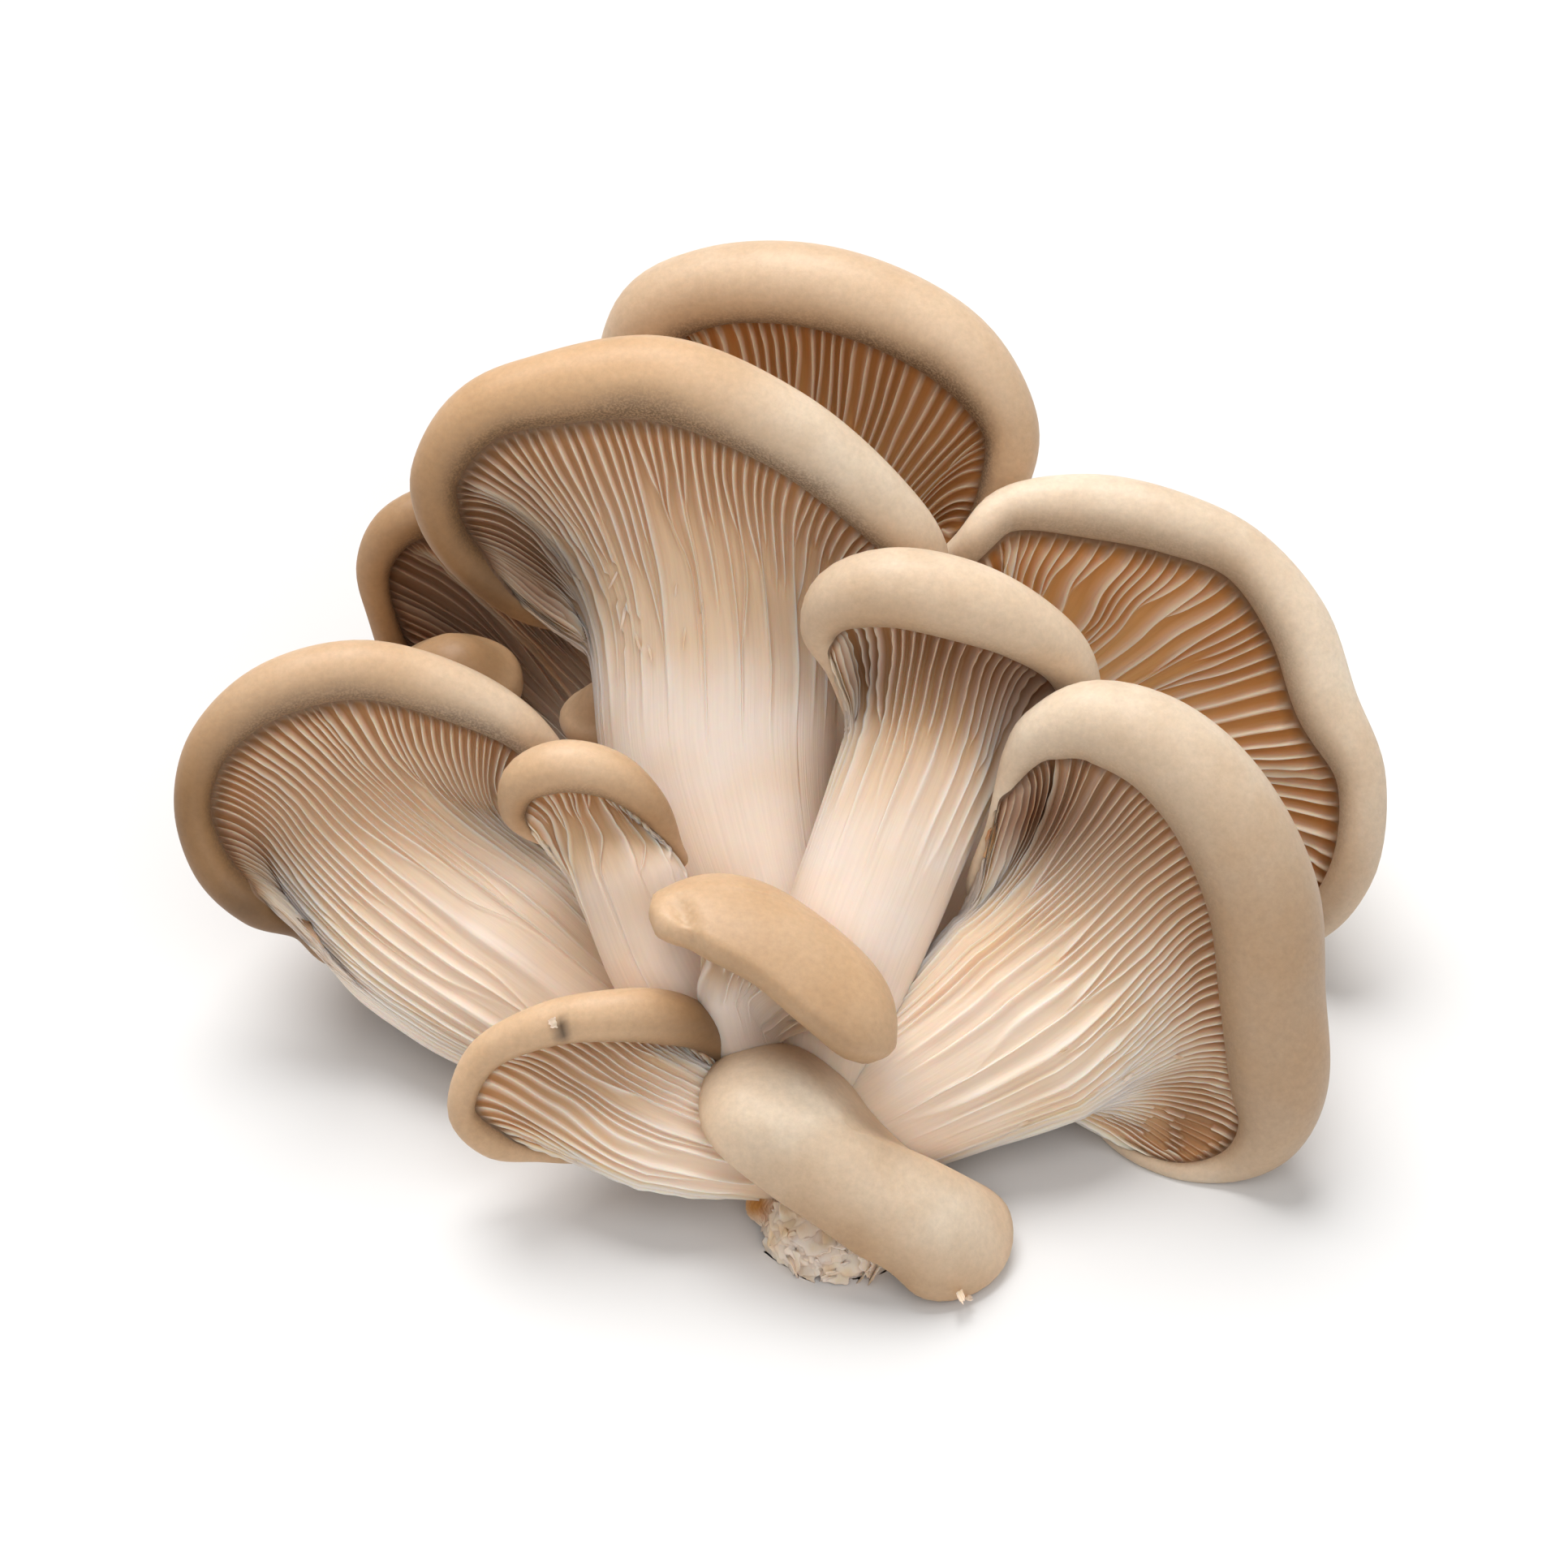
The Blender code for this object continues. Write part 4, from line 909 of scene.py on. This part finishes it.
backLeft = {
    "stem": [(-1, -42, -3, 5, 5), (-7, -24, -19, 5.5, 5), (-13, -8, -31, 6, 5),
             (-19, 4, -37, 7, 5.5)],
    "rim": [(-49.8, 21, -26, 1.8), (-50.6, 27, -23, 2.3), (-47.4, 32, -20, 2.9),
            (-40, 34.5, -20, 3), (-31, 32.5, -23, 2.6), (-22, 26, -28, 2.2),
            (-14, 18, -32.5, 1.8), (-10.5, 9, -37.5, 1.4), (-13.5, 2.5, -42, 1.4),
            (-21, -1, -44.3, 1.4), (-30, 0, -44, 1.5), (-39, 5.5, -40.5, 1.8),
            (-46.5, 13.5, -33.5, 2)],
    "crown": (-35, 14, -48.5), "gillGap": 1.2, "gillHeight": 1.3, "downAndShade": 0.9, "stemRows": 10,
    # This cap lies behind the others: its brown and gill shade spots paint the shade it lies in
    "relax": 20, "warm": 0.1, "brown": [(-40, 20, -28, 30, 1.0)], "paintedGillShade": [(-38, 15, -30, 25, 0.8)],
}

fruitBodies = {
    "mushroom_lower_front": lowerFront, "mushroom_upper_front": upperFront,
    "mushroom_low_left": lowLeft, "mushroom_front_right": frontRight,
    "mushroom_middle_right": middleRight, "mushroom_slim_left": slimLeft,
    "mushroom_front_left": frontLeft, "mushroom_tall_middle": tallMiddle,
    "mushroom_button": button, "mushroom_small_left": smallLeft,
    "mushroom_back_right": backRight, "mushroom_back_top": backTop,
    "mushroom_back_left": backLeft,
}

# The torn foot: a lump, its radius 1 + sum of sines, under flakes of torn flesh. A flake is a
# curling tongue: rows along its length, an oval section, and an end torn to its own length at
# every place across.
tornFoot = {
    "middle": (4, -45, 0.5), "half": (10, 8, 6), "tornEnd": (6.8, -54.9, 6.4),
    "tornHalf": (8.4, 6.2, 4.6), "columns": 160, "rows": 90, "flakes": 34, "seed": 31,
    "width": (3.0, 5.0), "length": (2.8, 4.2), "thickness": 0.3, "curl": (0.1, 0.6),
    "driedBit": (-2.6, -51.6, 4.5), "driedHalf": (2.0, 2.5, 1.8),
}


def makeLump(middle, half, columns, rows):
    a = np.linspace(0, 2 * math.pi, columns, endpoint=False)
    b = np.linspace(-math.pi / 2, math.pi / 2, rows + 1)[1:-1, None]
    radius = (1 + 0.09 * (np.sin(3 * a) * np.cos(2 * b) + np.cos(5 * a) * np.sin(3 * b))
              + 0.03 * np.sin(17 * a + 4 * np.sin(5 * b)) * np.cos(b)
              + 0.02 * np.sin(31 * a + 3 * np.sin(9 * b)) * np.cos(b))
    unitBall = np.stack([np.cos(b) * np.cos(a), np.sin(b) + 0 * a, np.cos(b) * np.sin(a)], -1)
    return middle + unitBall * radius[..., None] * half


def makeFlakes(foot, rng):
    count = foot["flakes"]
    a = rng.uniform(math.radians(-10), math.radians(190), count)
    b = rng.uniform(math.radians(-88), math.radians(35), count)
    ball = np.stack([np.cos(b) * np.cos(a), np.sin(b), np.cos(b) * np.sin(a)], -1)
    root = np.array(foot["tornEnd"]) + 0.93 * ball * foot["tornHalf"]
    down = np.array((-0.45, -1.0, -0.25)) + rng.normal(0, 0.15, (count, 3))
    return makeTongues(root, down, ball / foot["tornHalf"], rng.uniform(*foot["width"], count),
                       rng.uniform(*foot["length"], count), rng.uniform(*foot["curl"], count),
                       foot["thickness"], rng)


def makeTongues(root, down, normal, width, length, curl, thickness, rng):
    count, around, rows = len(root), 48, 12
    normal = unit(normal)
    tangent = unit(down - normal * (down * normal).sum(1)[:, None])
    heading = unit(tangent + 0.35 * normal)
    side = unit(np.cross(heading, normal))
    width, length, curl = (values[:, None, None] for values in (width, length, curl))
    turn = np.linspace(0, 2 * math.pi, around, endpoint=False)
    v = np.linspace(0, 1, rows)[:, None]
    phase = rng.uniform(0, 2 * math.pi, (4, count, 1, 1))
    u = np.cos(turn)
    torn = (0.85 + 0.12 * np.sin(4 * u + phase[0]) + 0.09 * np.sin(9 * u + phase[1])
            + 0.05 * np.sin(19 * u + phase[2]) - 0.35 * u ** 6)
    reach = (v - 0.35) * length * torn
    across = u * width * (1 - 0.15 * v) * (1 + 0.06 * np.sin(9 * v + phase[3]))
    lift = (0.6 * v ** 2 * curl + thickness * np.sin(turn) * np.sqrt(np.maximum(1 - v, 0))
            + 0.3 * thickness * np.sin(6 * u + phase[1]))

    def along(amount, direction):
        return amount[..., None] * direction[:, None, None]

    return (root[:, None, None] + along(reach, heading) + along(across, side)
            + along(lift, normal))


# Closed grids put together as one mesh of torn flesh, dried to amber at the spots
def makeTornPiece(name, parts, dried):
    quads, polygons, first = [], [], 0
    for part in parts:
        rows, around = part.shape[:2]
        faces = gridQuads(0, rows, around)
        ends = [np.arange(around)[::-1], (rows - 1) * around + np.arange(around)]
        if not facesOut(part.reshape(-1, 3), faces):
            faces, ends = faces[:, ::-1], [end[::-1] for end in ends]
        quads.append(first + faces)
        polygons += [first + end for end in ends]
        first += rows * around
    points = np.concatenate([part.reshape(-1, 3) for part in parts])
    mesh = makeMesh(name, onTable(points), np.concatenate(quads), polygons)
    giveAttribute(mesh, "brown", spotted(points, dried))
    mesh.materials.append(tornFlesh)
    return addObject(name, mesh)


def makeTornFoot():
    rng = np.random.default_rng(tornFoot["seed"])
    lumps = [makeLump(np.array(tornFoot[middle], float), np.array(tornFoot[half], float),
                      tornFoot["columns"], tornFoot["rows"])
             for middle, half in (("middle", "half"), ("tornEnd", "tornHalf"),
                                  ("driedBit", "driedHalf"))]
    return makeTornPiece("tornFoot", lumps + list(makeFlakes(tornFoot, rng)),
                         [(-3.4, -51.8, 4.5, 2.2, 1.2)])


# Loose slivers and chips, each lying on a fruit body: where it lies (across, up), where it points
# (across, up, out), half width, length and curl, in mm
scraps = {
    "fruitBody_tall_middle": [
        ((-20.6, 26), (-0.5, -1, 0.3), 0.16, 4.0, 1.0), ((-19.6, 21.5), (-0.2, -1, 0.1), 0.2, 5.0, 0.4),
        ((-18.2, 18.2), (0.3, -1, 0.3), 0.22, 3.6, 1.0), ((-16.6, 16.6), (0.2, -1, 0.4), 0.2, 2.6, 1.0),
        ((-13.4, 23.4), (0.1, 1, 0.2), 0.16, 2.4, 0.6), ((-12.2, 19), (-0.1, -1, 0.1), 0.15, 4.6, 0.3),
        ((-10.2, 21.6), (0.1, 1, 0.3), 0.14, 2.0, 0.6)],
    "fruitBody_low_left": [((-28.2, -29.4), (-1, -0.2, 0.5), 0.7, 1.4, 0.5)],
    "fruitBody_lower_front": [((21.6, -62.6), (0.4, -1, 0), 0.5, 2.6, 2.2),
                              ((22.4, -63.2), (1, -0.3, 0), 0.4, 1.6, 2.0)],
    "fruitBody_front_right": [
        ((42, -36.5), (0.8, 0.6, 0.4), 0.25, 2.4, 1.0), ((34, -33), (1, 0.4, 0.4), 0.2, 2.0, 1.2),
        ((48, -33.5), (0.9, -0.2, 0.5), 0.25, 2.2, 1.2), ((29, -42), (1, 0.3, 0.2), 0.25, 2.6, 0.8)],
}


# Where the line of sight at a place in the face frame meets a piece, in the face frame
def landOn(piece, across, up):
    start, ahead = (onTable((across, up, out)) for out in (60, 59))
    sight = Vector(ahead - start).normalized()
    hit, place, _, _ = piece.ray_cast(Vector(start), sight)
    rise, depth = math.cos(table["lean"]), math.sin(table["lean"])
    y = place[1] / mm + table["footprintMiddle"][1]
    z = place[2] / mm - table["faceHeight"]
    return (across, up, z * depth - y * rise) if hit else (across, up, 0)


def makeScraps():
    rng = np.random.default_rng(5)
    placed = [(landOn(bpy.data.objects[name], *where), *rest)
              for name, lying in scraps.items() for where, *rest in lying]
    root, heading, width, length, curl = (np.array(values, float) for values in zip(*placed))
    tongues = makeTongues(root, heading, np.tile(outAxis, (len(root), 1)), width, length, curl, 0.1,
                          rng)
    return makeTornPiece("looseScraps", list(tongues), [(-28.2, -29.4, 20, 2, 0.35)])    # the chip


foot = makeTornFoot()
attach(foot, "root")
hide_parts("base_clump")
print("torn foot made")

for seed, (node, body) in enumerate(fruitBodies.items()):
    piece = makeFruitBody(node.replace("mushroom_", "fruitBody_"), body, seed)
    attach(piece, "root")
    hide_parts(node)
print("fruit bodies made")

chips = makeScraps()
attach(chips, "root")
print("loose scraps made")


# A plain pale table top and soft studio light: a wide sun for the big soft source over and
# behind the cluster, and a white surround
studio = {"tableSize": 6.0, "tableColour": "#dfdedd", "surround": 0.38,
          "lights": {"softSource": ((-0.16, 0.45, 0.88), 3.05, math.radians(42)),
                     "frontFill": ((0.15, -0.6, 0.8), 1.05, math.radians(60))}}


def makeStudio():
    half = studio["tableSize"] / 2
    mesh = bpy.data.meshes.new("tableTop")
    mesh.from_pydata([(-half, -half, 0), (half, -half, 0), (half, half, 0), (-half, half, 0)], [],
                     [(0, 1, 2, 3)])
    top = addObject("tableTop", mesh)
    material, _, shader = newMaterial("matteWhiteBoard")
    shader.inputs["Base Color"].default_value = toLinear(studio["tableColour"])
    shader.inputs["Roughness"].default_value = 0.9
    shader.inputs["Specular IOR Level"].default_value = 0.0
    mesh.materials.append(material)
    for name, (source, strength, angle) in studio["lights"].items():
        sun = bpy.data.lights.new(name, "SUN")
        sun.energy, sun.angle = strength, angle
        lamp = addObject(name, sun)
        lamp.rotation_mode = "QUATERNION"
        lamp.rotation_quaternion = Vector(source).to_track_quat("Z", "Y")
    world = bpy.data.worlds.new("surround")
    world.use_nodes = True
    world.node_tree.nodes["Background"].inputs["Strength"].default_value = studio["surround"]
    world.node_tree.nodes["Background"].inputs["Color"].default_value = (1, 1, 1, 1)
    bpy.context.scene.world = world
    bpy.context.scene.view_settings.view_transform = "Standard"


# The camera looks straight at the gill side, from 1.5 m, and frames 193 mm of it
camera = {"distance": 1.5, "framed": 0.1932, "sensor": 36.0}


def makeCamera():
    lean = table["lean"]
    back = Vector((0, -math.cos(lean), math.sin(lean)))
    target = Vector((-table["footprintMiddle"][0] * mm, -table["footprintMiddle"][1] * mm,
                     table["faceHeight"] * mm))
    made = bpy.data.cameras.new("camera")
    made.sensor_width = camera["sensor"]
    made.lens = camera["sensor"] * camera["distance"] / camera["framed"]
    made.clip_start, made.clip_end = 0.05, 20
    holder = addObject("camera", made)
    holder.location = target + back * camera["distance"]
    holder.rotation_mode = "QUATERNION"
    holder.rotation_quaternion = (-back).to_track_quat("-Z", "Y")
    bpy.context.scene.camera = holder


makeStudio()
makeCamera()
print("studio and camera made")
